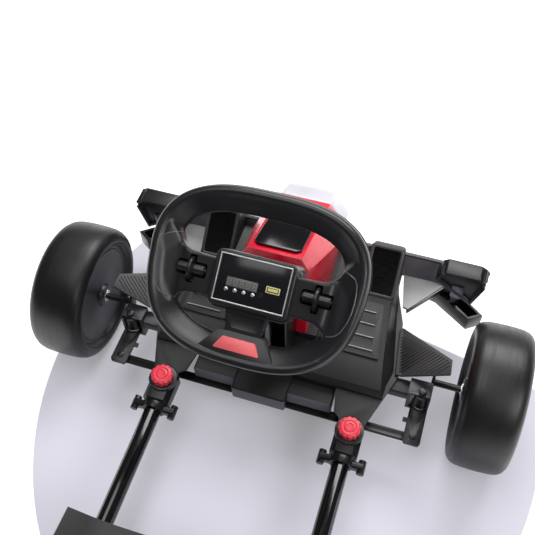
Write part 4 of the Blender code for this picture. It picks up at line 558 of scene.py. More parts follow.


# The grey of the pocket lips and pedal edge beads is a painted highlight.
rim_highlight_plastic = moulded("painted_highlight_pocket_lip", "4e4e51", 0.34, grain=0.05)
for (side, word), node in zip(SIDES, ("brake_pedal", "accelerator_pedal")):
    pocket = (Matrix.Translation((side * POCKET_FOOT.x, POCKET_FOOT.y, POCKET_FOOT.z))
              @ Matrix.Rotation(POCKET_SLOPE, 4, "X"))
    tread = plate(rounded_outline(PEDAL_HALF, PEDAL_LOW, PEDAL_HIGH, 0.0045), PEDAL_BACK, PEDAL_TOP)
    picked(tread, "VERT", lambda v: v.z > PEDAL_TOP - 0.001, bpy.ops.mesh.inset, thickness=0.0022)
    bpy.ops.object.mode_set(mode="EDIT")
    bpy.ops.mesh.extrude_region_move(TRANSFORM_OT_translate={"value": (0, 0, -0.0012)})
    bpy.ops.object.mode_set(mode="OBJECT")
    rounded(tread, 0.0006, 2)
    ledge = box_between((-0.0145, 0.0145), (0.0610, 0.0680), (-0.0080, -0.0046), 0.0014, 3)
    pin = turned(in_mm([(-19, 0), (-19, 3), (19, 3), (19, 0)]), (0, 0.0102, -0.0135), 20)
    as_one(tread, ledge, pin)
    tread.data.transform(pocket)
    skinned(tread, node, gloss_abs, "gloss_black")
    edge = swept(rounded_outline(PEDAL_HALF - PEDAL_EDGE_IN, PEDAL_LOW + PEDAL_EDGE_IN,
                                 PEDAL_HIGH - PEDAL_EDGE_IN, 0.0032),
                 [(-0.7, -0.3), (0.7, -0.3), (0.7, 0.2), (0.3, 0.6), (-0.3, 0.6), (-0.7, 0.2)])
    edge.data.transform(pocket @ Matrix.Translation((0, 0, PEDAL_TOP)))
    finished(edge, node + "_edge", cad[node]["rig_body"], rim_highlight_plastic, "gloss_black")
    lip = swept(rounded_outline(0.0224, 0.0026, 0.0754, 0.0052),
                [(-2.4, -0.6), (2.4, -0.6), (2.4, 0.3), (1.5, 1.0), (0, 1.3), (-1.5, 1.0), (-2.4, 0.3)])
    lip.data.transform(pocket)
    finished(lip, "pocket_lip_" + word, "front_frame", rim_highlight_plastic, "black_plastic", sharp=50)


# The bumper is one painted plate with a gusset, a hollow guard and a lamp post at each end.
# The gussets carry a rougher grey paint and a folded flange. Their tops are painted paler than that grey, a
# painted light where the lamps' light is shadowed, so they read lighter than the face. The upright face is
# painted violet grey, a painted reflection of the lavender floor.

GUARD_HOLLOW = ((0.2220, 0.4516), (0.2668, 0.4186), (0.2812, 0.4276), (0.2424, 0.4560), (0.2270, 0.4560))
GUARD_FLOOR, GUARD_FLOOR_THICK, GUARD_TOP = 0.0590, 0.0030, 0.0850
GUSSET_LINE = ((0.2215, 0.4500), (0.1745, 0.3925))
GUSSET_TOP = 0.1015
GUSSET_X, GUSSET_FRONT, GUSSET_Z = (0.150, 0.2232), 0.4524, (0.100, 0.106)
FACE_HALF, FACE_Y, FACE_LOW = 0.213, (0.451, 0.462), 0.100
FLANGE_H = 0.0100
FLANGE_T = 0.0026


def cut_out(piece, *tools):
    """Cuts tools out of a piece and throws them away."""
    for tool in tools:
        modified(piece, "BOOLEAN", operation="DIFFERENCE", object=tool, solver="EXACT")
        bpy.data.objects.remove(tool)
    return piece


bumper_paint = moulded("satin_guard_paint", "161618", 0.34, grain=0.05)
# The upright face's violet grey is a painted reflection of the lavender floor.
painted_floor_reflection = moulded("painted_reflection_bumper_face", "706c74", 0.46, grain=0.05)
# The gusset tops' pale grey is partly the gussets' own grey paint and partly painted light.
gusset_paint_and_light = moulded("grey_paint_and_painted_light_gusset", "c8c8c8", 0.62, grain=0.12)
bumper = solid_copy("front_bumper")
cut_out(bumper, *[plate([(side * x, y) for x, y in GUARD_HOLLOW], GUARD_FLOOR, GUARD_TOP)
                  for side in (-1, 1)])
for side in (-1, 1):
    start, end = [Vector((side * x, y, GUSSET_TOP - FLANGE_H / 2)) for x, y in GUSSET_LINE]
    flange = block((-0.5, 0.5), (-FLANGE_T / 2, FLANGE_T / 2), (-FLANGE_H / 2, FLANGE_H / 2))
    flange.data.transform(laid(start, end))
    floor = plate([(side * x, y) for x, y in GUARD_HOLLOW], GUARD_FLOOR - GUARD_FLOOR_THICK, GUARD_FLOOR)
    as_one(bumper, flange, floor)
skinned(rounded(bumper, 0.0009, 2), "front_bumper", bumper_paint, "black_plastic")
bumper.data.materials.append(gusset_paint_and_light)
bumper.data.materials.append(painted_floor_reflection)
for face in bumper.data.polygons:
    spot, out = face.center, abs(face.center.x)
    if (abs(face.normal.y) > 0.9 and spot.z > FACE_LOW and out < FACE_HALF
            and FACE_Y[0] < spot.y < FACE_Y[1]):
        face.material_index = 2
    if (face.normal.z > 0.7 and GUSSET_Z[0] < spot.z < GUSSET_Z[1] and spot.y < GUSSET_FRONT
            and GUSSET_X[0] < out < GUSSET_X[1]):
        face.material_index = 1


# The lamp housings are moulded shells with chamfered corners and a dished back.
# A bent bracket and a bolt hold each on its post.

LAMP_CHAMFER = 0.0060
LAMP_LOW = 0.160
LAMP_DISH = 0.0050
LAMP_RIM = 0.0035
LAMP_SLOPE = 0.0020
BRACKET_ROUND = 0.0008


def metal(name, colour, rough, grain=0.05, scale=90.0):
    """Plated or painted metal with a slightly uneven polish."""
    look, tree, here = new_material(name)
    slow = add(tree, "TexNoise", {"Scale": scale, "Detail": 5.0}, here)
    polish = add(tree, "MapRange", {"To Min": rough * 0.7, "To Max": rough * 1.3},
                 {"Value": slow.outputs["Fac"]})
    bump = add(tree, "Bump", {"Strength": grain, "Distance": 0.0003}, {"Height": slow.outputs["Fac"]})
    skin = add(tree, "BsdfPrincipled", {"Base Color": linear(colour), "Metallic": 1.0},
               {"Roughness": polish, "Normal": bump})
    add(tree, "OutputMaterial", {}, {"Surface": skin})
    return look


def chamfered(piece, depth):
    """Chamfers the upper edges that run from front to back, longer than a depth."""
    return bevelled(piece, LAMP_CHAMFER, 1, lambda a, b: abs(a.x - b.x) < 0.0004 and abs(a.z - b.z) < 0.0004
                    and abs(a.y - b.y) > depth and a.z > LAMP_LOW, clamp_overlap=True)


lamp_plastic = moulded("satin_lamp_housing", "151417", 0.40, grain=0.05)
bracket_steel = metal("lacquered_bracket_steel", "77757f", 0.34)
for side, word in SIDES:
    lamp_box = chamfered(solid_copy("headlamp_" + word), 0.01)
    rear = min(v.co.y for v in lamp_box.data.vertices)
    alone(lamp_box)
    for face in lamp_box.data.polygons:
        face.select = face.normal.y < -0.95 and abs(face.center.y - rear) < 0.0005
    bpy.ops.object.mode_set(mode="EDIT")
    bpy.ops.mesh.select_mode(type="FACE")
    bpy.ops.mesh.inset(thickness=LAMP_RIM, depth=0.0)
    bpy.ops.mesh.inset(thickness=LAMP_SLOPE, depth=-LAMP_DISH)
    bpy.ops.object.mode_set(mode="OBJECT")
    skinned(rounded(lamp_box, 0.0011, 2, 24), "headlamp_" + word, lamp_plastic, "gloss_black", sharp=30)
    arm = box_between((side * 0.2310, side * 0.2490), (0.4215, 0.4245), (0.1220, 0.1480), BRACKET_ROUND)
    foot = box_between((side * 0.2330, side * 0.2470), (0.4215, 0.4400), (0.1190, 0.1222), BRACKET_ROUND)
    as_one(arm, foot)
    finished(arm, "lamp_bracket_" + word, "front_frame", bracket_steel, "black_steel")


# The lenses are clear fluted acrylic, thin at the edge, so their rims catch the light.
# A wave texture at scale 1 repeats every 314 mm, so the flutes are 5 mm apart.

WAVE = 0.314
FLUTES = 62.0

lens_look, tree, here = new_material("fluted_acrylic_lens")
flutes = add(tree, "TexWave", {"Scale": FLUTES, "wave_profile": "SIN"}, here)
covered(tree, (linear("c4c8d2"), linear("f2f3f7")), flutes.outputs["Fac"], flutes.outputs["Fac"],
        (0.5, 0.0006), {"IOR": 1.49, "Roughness": 0.08, "Coat Weight": 0.4}, {})
for side, word in SIDES:
    lens = chamfered(solid_copy("lamp_lens_" + word), 0.002)
    skinned(rounded(lens, 0.0008, 2, 24), "lamp_lens_" + word, lens_look, "clear_lens", sharp=30)


# The beam, the knuckles and the tie rod are pressed steel under black powder coat, with zinc bolts.
# The beam's top catches the light along its folded edge.

COAT_PITCH = 0.0007
KINGPIN_AT = (0.2253, 0.2557)
ARM_PIN_AT = (0.2253, 0.2035, 0.0757)
COLLAR_PROFILE = in_mm([(78.5, 10.6), (78.5, 12), (79, 12.4), (80.3, 12.4), (80.8, 12), (80.8, 10.6),
                        (78.5, 10.6)])

powder_coat = moulded("black_powder_coat", "0d0d0f", 0.34, grain=0.16, pitch=COAT_PITCH)
beam_coat = moulded("grey_powder_coat", "2f2e34", 0.40, grain=0.14, pitch=COAT_PITCH)
zinc = metal("zinc_plated_steel", "c8c8ca", 0.24)
blackened = metal("blackened_steel", "3c3c40", 0.36)


def hex_bolt(radius, height):
    """A hexagon head with a chamfered top over a round flange, standing at the origin."""
    head = plate(circle(radius, 6), 0.0008, height)
    flange = turned([(0.0, 0.0), (0.0, radius * 1.28), (0.0005, radius * 1.28), (0.0009, radius * 1.05),
                     (0.0009, 0.0)], steps=32, axis=UP)
    return as_one(rounded(head, radius * 0.10, 2), flange)


softened("front_axle_beam", beam_coat, "black_steel", 0.0009)
softened("tie_rod", powder_coat, "black_steel", 0.0006)
for side, word in SIDES:
    softened("knuckle_" + word, powder_coat, "black_steel", 0.0007)
    softened("kingpin_" + word, blackened, "black_steel", 0.0006)
    collar = turned(COLLAR_PROFILE, (side * KINGPIN_AT[0], KINGPIN_AT[1], 0.0), 40, UP)
    finished(collar, "knuckle_collar_" + word, word + "_knuckle", zinc, "zinc_steel")
    bolt = hex_bolt(0.0022, 0.0022)
    bolt.data.transform(Matrix.Translation((side * ARM_PIN_AT[0], *ARM_PIN_AT[1:])))
    finished(bolt, "arm_bolt_" + word, word + "_knuckle", zinc, "zinc_steel")


# The tyres are blow-moulded in one smooth black piece with round shoulders and a thin lip inside.
# Rolling polishes faint rings round the tread, which stretch the lamp's light along it.

TREAD_RING = 0.0030
FRONT_WHEEL = (0.3157, 0.2800, 0.1050, 0.105, 0.082)
REAR_WHEEL = (0.3127, -0.3400, 0.1150, 0.115, 0.088)


def tyre_look(name, colour, rough):
    """Smooth black tyre; rings of polish run round the axle, and its tone changes in slow patches."""
    look, tree, here = new_material(name)
    squeeze = add(tree, "Mapping", {"Scale": (1 / TREAD_RING, 9.0, 9.0)}, here)
    rings = add(tree, "TexNoise", {"Scale": 1.0, "Detail": 3.0}, {"Vector": squeeze})
    slow = add(tree, "TexNoise", {"Scale": 16.0, "Detail": 4.0}, here)
    both = add(tree, "Math", {"operation": "ADD"}, {0: rings.outputs["Fac"], 1: slow.outputs["Fac"]})
    polish = add(tree, "MapRange", {"From Min": 0.6, "From Max": 1.4, "To Min": rough * 0.75,
                                    "To Max": rough * 1.3}, {"Value": both})
    covered(tree, (toned(colour, 0.75), toned(colour, 1.30)), slow.outputs["Fac"], rings.outputs["Fac"],
            (0.10, 0.0004), {"IOR": 1.50}, {"Roughness": polish})
    return look


def tyre_profile(r, w):
    """Half of a tyre's section from its radius and half width: tread, shoulder, lip and back inside."""
    return [(0.0, r), (w * 0.35, r - 0.0003), (w * 0.62, r - 0.0012), (w * 0.78, r - 0.0030),
            (w * 0.89, r - 0.0062), (w * 0.96, r - 0.0105), (w - 0.0002, r - 0.0155), (w, r - 0.0185),
            (w - 0.0008, r - 0.0205), (w - 0.0022, r - 0.0215), (w - 0.0060, r - 0.0218),
            (w - 0.0140, r - 0.0218)]


tyre_black = tyre_look("blow_moulded_tyre", "161618", 0.40)
for end, (x, y, z, radius, width) in (("front", FRONT_WHEEL), ("rear", REAR_WHEEL)):
    half = tyre_profile(radius, width / 2)
    ring = [(a, r) for a, r in reversed(half)] + [(-a, r) for a, r in half[1:]]
    for side, word in SIDES:
        tyre = turned(ring + [ring[0]], (side * x, y, z), 96)
        skinned(tyre, "%s_tyre_%s" % (end, word), tyre_black, "tyre_rubber", sharp=30)


# Each hub is a moulded drum: a disc near the inner face with a raised ring by its edge, an open bowl
# outside it, and six ribs that tie the axle boss to the drum.

HUB_RIM_DEPTH = 0.0215
HUB_SINK = 0.0080
HUB_THICK = 0.0090
RIB_COUNT = 6
RIB_THICK = 0.0030
RIB_HIGH = 0.0110

hub_plastic = moulded("navy_black_polypropylene", "1b1a24", 0.36, grain=0.03)
for end, (x, y, z, radius, width) in (("front", FRONT_WHEEL), ("rear", REAR_WHEEL)):
    edge = radius - HUB_RIM_DEPTH
    outer = width / 2 - HUB_SINK
    inner = -outer
    floor = inner + HUB_THICK
    section = [(inner - 0.0052, 0.0056), (inner - 0.0052, 0.0150), (inner - 0.0046, 0.0172),
               (inner - 0.0010, 0.0190), (inner, 0.0220), (inner, edge - 0.0120),
               (inner - 0.0012, edge - 0.0112), (inner - 0.0014, edge - 0.0098),
               (inner - 0.0004, edge - 0.0088), (inner, edge - 0.0055), (inner - 0.0040, edge - 0.0030),
               (inner - 0.0062, edge - 0.0012), (inner - 0.0066, edge - 0.0004), (outer, edge - 0.0004),
               (outer + 0.0006, edge - 0.0012), (outer + 0.0006, edge - 0.0056),
               (outer - 0.0004, edge - 0.0066), (floor + 0.0030, edge - 0.0070), (floor, edge - 0.0100),
               (floor, 0.0215), (floor + 0.0020, 0.0188), (outer - 0.0030, 0.0180),
               (outer - 0.0020, 0.0170), (outer - 0.0020, 0.0056), (inner - 0.0052, 0.0056)]
    for side, word in SIDES:
        hub = turned([(side * a, r) for a, r in section], (side * x, y, z), 96)
        low, high = sorted((side * (floor - 0.0005), side * (floor + RIB_HIGH)))
        rib = box_between((low, high), (-RIB_THICK / 2, RIB_THICK / 2), (0.0170, edge - 0.0062), 0.0008)
        ribs = repeated(rib, [Matrix.Translation((side * x, y, z))
                              @ Matrix.Rotation(k * math.tau / RIB_COUNT, 4, "X") for k in range(RIB_COUNT)])
        as_one(hub, ribs)
        skinned(hub, "%s_hub_%s" % (end, word), hub_plastic, "hub_plastic", sharp=30)


# A serrated zinc washer and a nut hold each front hub on its stub axle.

WASHER_R = 0.0100
WASHER_NOTCH = 0.0016
WASHER_TEETH = 10


def facing(side, x, y, z):
    """The place of a piece turned from standing up to facing out along x, on one side."""
    return Matrix.Translation((x, y, z)) @ Matrix.Rotation(side * math.pi / 2, 4, "Y")


x, y, z, radius, width = FRONT_WHEEL
for side, word in SIDES:
    teeth = [((WASHER_R - WASHER_NOTCH * (i % 2)) * c, (WASHER_R - WASHER_NOTCH * (i % 2)) * s)
             for i, (c, s) in enumerate(circle(1.0, WASHER_TEETH * 2))]
    washer = rounded(plate(teeth, 0.0, 0.0016), 0.0004, 2)
    ring = turned(in_mm([(0.6, 4.6), (2.6, 4.8), (3.0, 6.0), (2.4, 7.0), (0.6, 7.2), (0.6, 4.6)]),
                  steps=40, axis=UP)
    as_one(washer, ring)
    washer.data.transform(facing(-side, side * (x - width / 2 + HUB_SINK - 0.0050), y, z))
    finished(washer, "axle_washer_" + word, "front_%s_wheel" % word, zinc, "zinc_steel")
    nut = hex_bolt(0.0096, 0.0064)
    nut.data.transform(facing(side, side * (x + width / 2 - HUB_SINK - 0.0018), y, z))
    finished(nut, "axle_nut_" + word, word + "_knuckle", zinc, "zinc_steel")


# The column bracket is a folded plate and the shaft a turned bar, both under black powder coat.
# The spindle between them is turned and plated with zinc.

softened("column_bracket", powder_coat, "black_steel", 0.0010)
softened("steering_spindle", zinc, "black_steel", 0.0005, 2, 40)
softened("steering_shaft", powder_coat, "black_steel", 0.0006, 2, 40)


# The steering wheel is a hollow moulding of a front and a rear shell, screwed together.
# The front shell has a broad rim whose slope falls inwards, two flared spokes and a low spoke.
# It is satin black; its rounded slopes pick up the lamp as broad grey bands.

WHEEL_AT = Vector((0.0, 0.1976, 0.3723))
WHEEL_TILT = math.radians(36.2)
RIM_HALF_W = 0.1330
RIM_TOP = 0.1095
RIM_BOTTOM = 0.1000
RIM_TAPER = 0.65
RIM_POWER = 2.85
RIM_THICK = 0.0320
RIM_SECTION = [(8.5, 5.2), (11.5, 4.2), (14.0, 1.6), (15.4, -2.0), (15.9, -6.0), (15.8, -10.0), (15.0, -15.0),
               (12.0, -20.5), (6.0, -23.8), (-2.0, -24.2), (-9.0, -23.4), (-14.0, -21.0), (-16.0, -18.2),
               (-15.4, -15.2), (-13.0, -12.6), (-9.0, -8.8), (-4.0, -4.2), (1.0, 0.6), (5.0, 4.0)]
WHEEL_VOXEL = 0.0013
SPOKE_SINK = 0.0060
SPOKE_BACK = 0.0260
SPOKE_HALF = [(30, 20), (62, 20), (80, 21), (90, 24.5), (96, 30), (99, 38), (104, 47), (112, 50), (121, 40),
              (124, 0), (118, -40), (108, -56), (98, -50), (93, -40), (87, -32.5), (78, -28.5), (62, -27),
              (30, -27)]
BLEND_X, BLEND_Y = (0.072, 0.122), (-0.068, 0.062)
WELL_AT = 0.077

wheel_place = Matrix.Translation(WHEEL_AT) @ Matrix.Rotation(WHEEL_TILT, 4, "X")


def both_halves(points):
    """An outline from its right half, running down from the top."""
    return [(-x, y) for x, y in points] + [(x, y) for x, y in reversed(points)]


def lifted(piece, test, height):
    """Moves the points that pass a test up or down."""
    return picked(piece, "VERT", test, bpy.ops.transform.translate, value=(0, 0, height))


def on_wheel(piece, name, look, slot, *nodes, body="wheel_and_shaft", sharp=34.0):
    """Moves a piece made flat at the origin to its place on the tilted wheel and finishes it."""
    piece.data.transform(wheel_place)
    piece.data.update()
    return finished(piece, name, body, look, slot, *nodes, sharp=sharp)


def rim_point(angle, inset):
    """A point on the rim's outline, a rectangle with well rounded corners."""
    wide = RIM_HALF_W - inset
    middle = (RIM_TOP - RIM_BOTTOM) / 2
    tall = (RIM_TOP + RIM_BOTTOM) / 2 - inset
    c, s = math.cos(angle), math.sin(angle)
    reach = (abs(c / wide) ** RIM_POWER + abs(s / tall) ** RIM_POWER) ** (-1 / RIM_POWER)
    x, y = reach * c, middle + reach * s
    return x * (1 + RIM_TAPER * (y - 0.020)), y


path = [rim_point(i * math.tau / 180, RIM_THICK / 2) for i in range(180)]
shell = swept(path, RIM_SECTION)
flares = []
for side in (-1, 1):
    flare = plate([(side * x, y) for x, y in in_mm(SPOKE_HALF)], -SPOKE_BACK, -SPOKE_SINK)
    lifted(flare, lambda v: abs(v.x) > 0.105 and v.z > -0.01, 0.0070)
    lifted(flare, lambda v: 0.092 < abs(v.x) < 0.105 and v.z > -0.01, -0.0030)
    flares.append(flare)
low_spoke = plate(both_halves(in_mm([(28.5, -30), (21.5, -64)])), -SPOKE_BACK, -0.0125)
wheel_pad = plate(both_halves(in_mm([(27.5, -60), (48, -86), (46, -89)])), -0.024, 0.0030)
lifted(wheel_pad, lambda v: v.y > -0.07 and v.z > -0.01, -0.0080)
as_one(shell, *flares, low_spoke)
modified(shell, "REMESH", mode="VOXEL", voxel_size=WHEEL_VOXEL, use_smooth_shade=True)
blend = shell.vertex_groups.new(name="blend")
for vertex in shell.data.vertices:
    x, y = abs(vertex.co.x), vertex.co.y
    if BLEND_X[0] < x < BLEND_X[1] and BLEND_Y[0] < y < BLEND_Y[1] and vertex.co.z > -0.022:
        fade = min(1.0, (x - BLEND_X[0]) / 0.012, (BLEND_X[1] - x) / 0.010)
        blend.add([vertex.index], fade, "REPLACE")
modified(shell, "SMOOTH", factor=0.5, iterations=34, vertex_group="blend")
shell.vertex_groups.remove(shell.vertex_groups["blend"])
modified(shell, "SMOOTH", factor=0.5, iterations=4)
modified(wheel_pad, "BEVEL", width=0.0012, segments=3, limit_method="ANGLE")
as_one(shell, wheel_pad)
for side in (-1, 1):
    at = side * WELL_AT
    well = box_between((at - 0.0190, at + 0.0190), (-0.0088, 0.0088), (-0.0150, 0.01), 0.0030, 3)
    slot = box_between((at - 0.0045, at + 0.0045), (-0.0170, 0.0170), (-0.0220, 0.01), 0.0018)
    cut_out(shell, well, slot)
cut_out(shell, rounded(plate(both_halves(in_mm([(22.5, -39), (16.5, -58)])), -0.0170, 0.01), 0.0010, 2))
shell_plastic = moulded("satin_wheel_polypropylene", "1f1f22", 0.34, grain=0.06)
on_wheel(shell, "wheel_front_shell", shell_plastic, "black_plastic", "steering_wheel", sharp=40)

LIP_SECTION = [(16.2, -10.6), (16.9, -11.2), (16.9, -12.4), (15.0, -15.4), (12.0, -15.4), (12.0, -10.6)]
SEAM = in_mm([(97.5, 39.6), (103, 38.6), (109, 36.3), (115.5, 32.8), (119, 27), (120.8, 17), (121.2, 5),
              (120.3, -7), (117.8, -18), (113.3, -29), (107.5, -35.3), (102, -37.8), (97, -38.8)])
SEAM_R = 0.00090
SEAM_STEPS = 8

# The seam beads' pale grey is a painted highlight, the bright line that a rounded seam catches.
seam_highlight_plastic = moulded("painted_highlight_seam", "5a5a5c", 0.28, grain=0.02)
wheel_down = -(wheel_place.to_3x3() @ UP)
bpy.context.view_layer.update()
for side, word in SIDES:
    bead = bpy.data.curves.new("seam", "CURVE")
    bead.dimensions = "3D"
    spline = bead.splines.new("POLY")
    route = []
    for a, b in zip(SEAM, SEAM[1:]):
        for k in range(SEAM_STEPS):
            x, y = a[0] + (b[0] - a[0]) * k / SEAM_STEPS, a[1] + (b[1] - a[1]) * k / SEAM_STEPS
            hit = shell.ray_cast(wheel_place @ Vector((side * x, y, 0.02)), wheel_down, distance=0.045)
            if hit[0]:
                route.append(hit[1])
    spline.points.add(len(route) - 1)
    for point, at in zip(spline.points, route):
        point.co = (*at, 1.0)
    bead.bevel_depth = SEAM_R
    bead.bevel_resolution = 2
    line = alone(placed("seam", bead))
    bpy.ops.object.convert(target="MESH")
    finished(line, "wheel_seam_" + word, "wheel_and_shaft", seam_highlight_plastic, "black_plastic")
on_wheel(swept(path, LIP_SECTION), "wheel_rear_shell", shell_plastic, "black_plastic")


# The console is a deep box with well rounded corners behind the display, and a sleeve for the shaft.
# It is moulded with the shells, so it has their colour, with a lip under the display.

CONSOLE_DEEP = 0.0450
CONSOLE_LINE = [(43, 32.5), (47.5, 30), (49.5, 25), (49.5, -26), (48, -31), (44, -33.5)]
SKIRT_LINE = [(44, 30), (51, 26), (53.5, 20), (53.5, -28), (51, -34.5), (42, -38.5)]
SLEEVE_R = 0.0115
BUTTON_ROW = -0.0127
BUTTON_FIRST, BUTTON_PITCH = -0.0289, 0.0109
BUTTONS_X = [BUTTON_FIRST + n * BUTTON_PITCH for n in range(4)]
BORE_R = 0.0029


def button_bores(low):
    """Round drills that leave each push button its travel."""
    return [plate(circle(BORE_R, 32, (x, BUTTON_ROW)), low, 0.0050) for x in BUTTONS_X]


console = plate(both_halves(in_mm(CONSOLE_LINE)), -CONSOLE_DEEP, 0.0)
picked(console, "VERT", lambda v: v.z < -0.04, bpy.ops.transform.resize, value=(1.06, 0.98, 1.0),
       center_override=(0, 0, -CONSOLE_DEEP))
rounded(console, 0.0032, 4)
skirt = rounded(plate(both_halves(in_mm(SKIRT_LINE)), -CONSOLE_DEEP, -0.0130), 0.0030, 3)
recess = box_between((-0.0444, 0.0444), (-0.0289, 0.0289), (-0.0032, 0.01), 0.0010)
cut_out(console, recess, *button_bores(-0.0060))
sleeve = swept(circle(SLEEVE_R, 48), [(2.5, -44), (2.5, -57), (1.5, -59), (-3, -59), (-3, -44)])
as_one(console, skirt)
as_one(console, sleeve)
on_wheel(console, "wheel_console", shell_plastic, "black_plastic")


# The display is a dark acrylic plate in a thin bright frame, with a grey liquid-crystal window,
# four plated push buttons, a socket for a cable and a small round jack.

FRAME_HALF = (0.0440 - 0.00075, 0.0285 - 0.00075)
FRAME_SECTION = [(0.75, -2.8), (0.75, 0.2), (0.5, 0.45), (-0.5, 0.45), (-0.75, 0.2), (-0.75, -2.8)]
WINDOW = ((-0.0305, 0.0075), (-0.0090, 0.0020))
DIGIT_FIRST, DIGIT_PITCH, DIGIT_COUNT = -0.0270, 0.0078, 5
ACROSS_BARS = [(0, -0.0004), (0, -0.0036), (0, -0.0068)]
UPRIGHT_BARS = [(-0.0022, -0.0020), (0.0022, -0.0020), (-0.0022, -0.0052), (0.0022, -0.0052)]
PORT = ((0.0175, 0.0345), (-0.0062, 0.0018))
JACK_AT = (0.0130, -0.0110)
CAP_SECTION = [(1.1, -2.8), (1.1, 0.5), (0.9, 1.0), (0.3, 1.3), (-0.6, 1.42), (-1.28, 1.45), (-1.28, -2.8)]

chrome = metal("chromed_abs", "f0f0f2", 0.36)
acrylic = moulded("display_acrylic", "15151a", 0.16, grain=0.0, vary=0.1)
face = box_between((-0.0429, 0.0429), (-0.0274, 0.0274), (-0.0030, -0.0004), 0.0004)
on_wheel(cut_out(face, *button_bores(-0.0040)), "display_plate", acrylic, "display_face", "display_panel")
frame_path = both_halves([FRAME_HALF, (FRAME_HALF[0], -FRAME_HALF[1])])[::-1]
silver = metal("satin_silver_foil", "f0f0ee", 0.42)
on_wheel(swept(frame_path, FRAME_SECTION), "display_frame", silver, "chrome_plastic")

crystal = moulded("liquid_crystal_glass", "616260", 0.22, grain=0.0, vary=0.1)
on_wheel(box_between(*WINDOW, (-0.0010, -0.0002), 0.0002), "display_window", crystal, "display_face")
segments = []
for digit in range(DIGIT_COUNT):
    for spots, wide, tall in ((ACROSS_BARS, 0.0016, 0.0003), (UPRIGHT_BARS, 0.0003, 0.0011)):
        for dx, y in spots:
            x = DIGIT_FIRST + digit * DIGIT_PITCH + dx
            segments.append(block((x - wide, x + wide), (y - tall, y + tall), (-0.0004, -0.00012)))
segment_ink = moulded("crystal_segments", "8f908e", 0.30, grain=0.0, vary=0.1)
on_wheel(as_one(*segments), "display_segments", segment_ink, "display_face")

socket = moulded("cream_socket_plastic", "e6dc96", 0.35, grain=0.0)
(left, right), (low, high) = PORT
port = box_between(*PORT, (-0.0025, 0.0002), 0.0005)
cut_out(port, block((left + 0.0014, right - 0.0014), (low + 0.0012, high - 0.0012), (-0.0018, 0.001)))
on_wheel(port, "display_port", socket, "chrome_plastic")
tongue = box_between((left + 0.0024, right - 0.0024), (low + 0.0024, high - 0.0020),
                     (-0.0020, -0.0003), 0.0002)
on_wheel(tongue, "display_port_tongue", socket, "chrome_plastic")
for number, x in enumerate(BUTTONS_X, 1):
    on_wheel(swept(circle(0.0013, 32, (x, BUTTON_ROW)), CAP_SECTION), "button_cap_%d" % number, chrome,
             "chrome_plastic", "display_button_%d" % number, body="button_%d" % number)
jack = swept(circle(0.0022, 32, JACK_AT), [(0.5, -2.0), (0.5, 0.1), (0.0, 0.3), (-0.5, 0.1), (-0.6, -2.0)])
on_wheel(jack, "display_jack", acrylic, "display_face")


# The thumb rollers are ribbed barrels with a tall collar in the middle, held in wells in the spokes.
# They are gloss black polypropylene, so their rounded backs show narrow lights.

ROLLER_HALF = [(18.2, 0), (18.2, 2.4), (17.2, 2.6), (17.0, 5.2), (16.2, 6.2), (13, 6.5), (3.2, 6.5),
               (2.6, 7.2), (2.5, 12.8), (1.6, 14.1)]

roller_plastic = moulded("gloss_polypropylene", "1b1b1d", 0.30, grain=0.02)
for side, word in SIDES:
    profile = in_mm([(-a, r) for a, r in ROLLER_HALF] + [(0, 14.5)] + ROLLER_HALF[::-1])
    roller = turned(profile, (side * WELL_AT, 0, -SPOKE_SINK), 40)
    on_wheel(roller, "roller_" + word, roller_plastic, "black_plastic", "thumb_roller_" + word,
             body=word + "_roller", sharp=30)


# The insert is a coral-red plate let into the pad at the foot of the wheel. It is left bare.

INSERT_LINE = [(19.2, -67.2), (20.6, -68.2), (27.9, -80.8), (26.8, -82.3)]

insert = plate(both_halves(in_mm(INSERT_LINE)), 0.0, 0.0034)
lifted(insert, lambda v: v.y > -0.07, -0.0030)
coral = moulded("coral_red_abs", "ff6e72", 0.34, grain=0.03)
on_wheel(rounded(insert, 0.0006, 2), "wheel_badge_plate", coral, "red_plastic", "wheel_insert")


# Each clamp is a split housing round the tube, moulded in glass-filled nylon.

clamp_plastic = moulded("glass_filled_nylon", "0f0f11", 0.30, grain=0.06)
for side, word in SIDES:
    softened("tube_clamp_" + word, clamp_plastic, "black_plastic", 0.0012, 3, 24, 32)


# The knobs are pink-red mouldings: a fluted skirt to grip and a turned cap with a ring groove.

KNOB_PROFILE = in_mm([(105, 0), (105, 11.8), (116.4, 11.8), (116.6, 14), (117.2, 13.4), (117.7, 12.4),
                      (118, 10.8), (117.8, 9.6), (117.1, 9), (117.1, 8.3), (117.9, 7.8), (118.3, 7),
                      (118.3, 5.2), (117.6, 4.2), (117.4, 0)])
KNOB_AT = (0.1395, 0.1728)
KNOB_R = 0.0160
KNOB_POINTS = 144
FLUTE_DEPTH = 0.0013
FLUTE_COUNT = 12

knob_red = moulded("pink_red_nylon", "ff4054", 0.32, grain=0.03, coat=0.1)
for side, word in SIDES:
    rim = []
    for i, (c, s) in enumerate(circle(1.0, KNOB_POINTS)):
        wave = 0.5 + 0.5 * math.cos(FLUTE_COUNT * (i * math.tau / KNOB_POINTS))
        out = KNOB_R - FLUTE_DEPTH * wave ** 2.2
        rim.append((out * c, out * s))
    skirt = rounded(plate(rim, 0.1054, 0.1166), 0.0013, 3, 40)
    as_one(skirt, turned(KNOB_PROFILE, steps=72, axis=UP))
    skirt.data.transform(Matrix.Translation((side * KNOB_AT[0], KNOB_AT[1], 0.0)))
    skinned(skirt, "clamp_knob_" + word, knob_red, "red_plastic", sharp=30)


# The frame tubes are drawn steel with deep gloss black enamel, so they mirror a thin line of light.

enamel = moulded("gloss_black_enamel", "0b0b0d", 0.14, grain=0.02, coat=0.5)
for side, word in SIDES:
    softened("frame_tube_" + word, enamel, "black_steel", 0.0008, 2, 40)


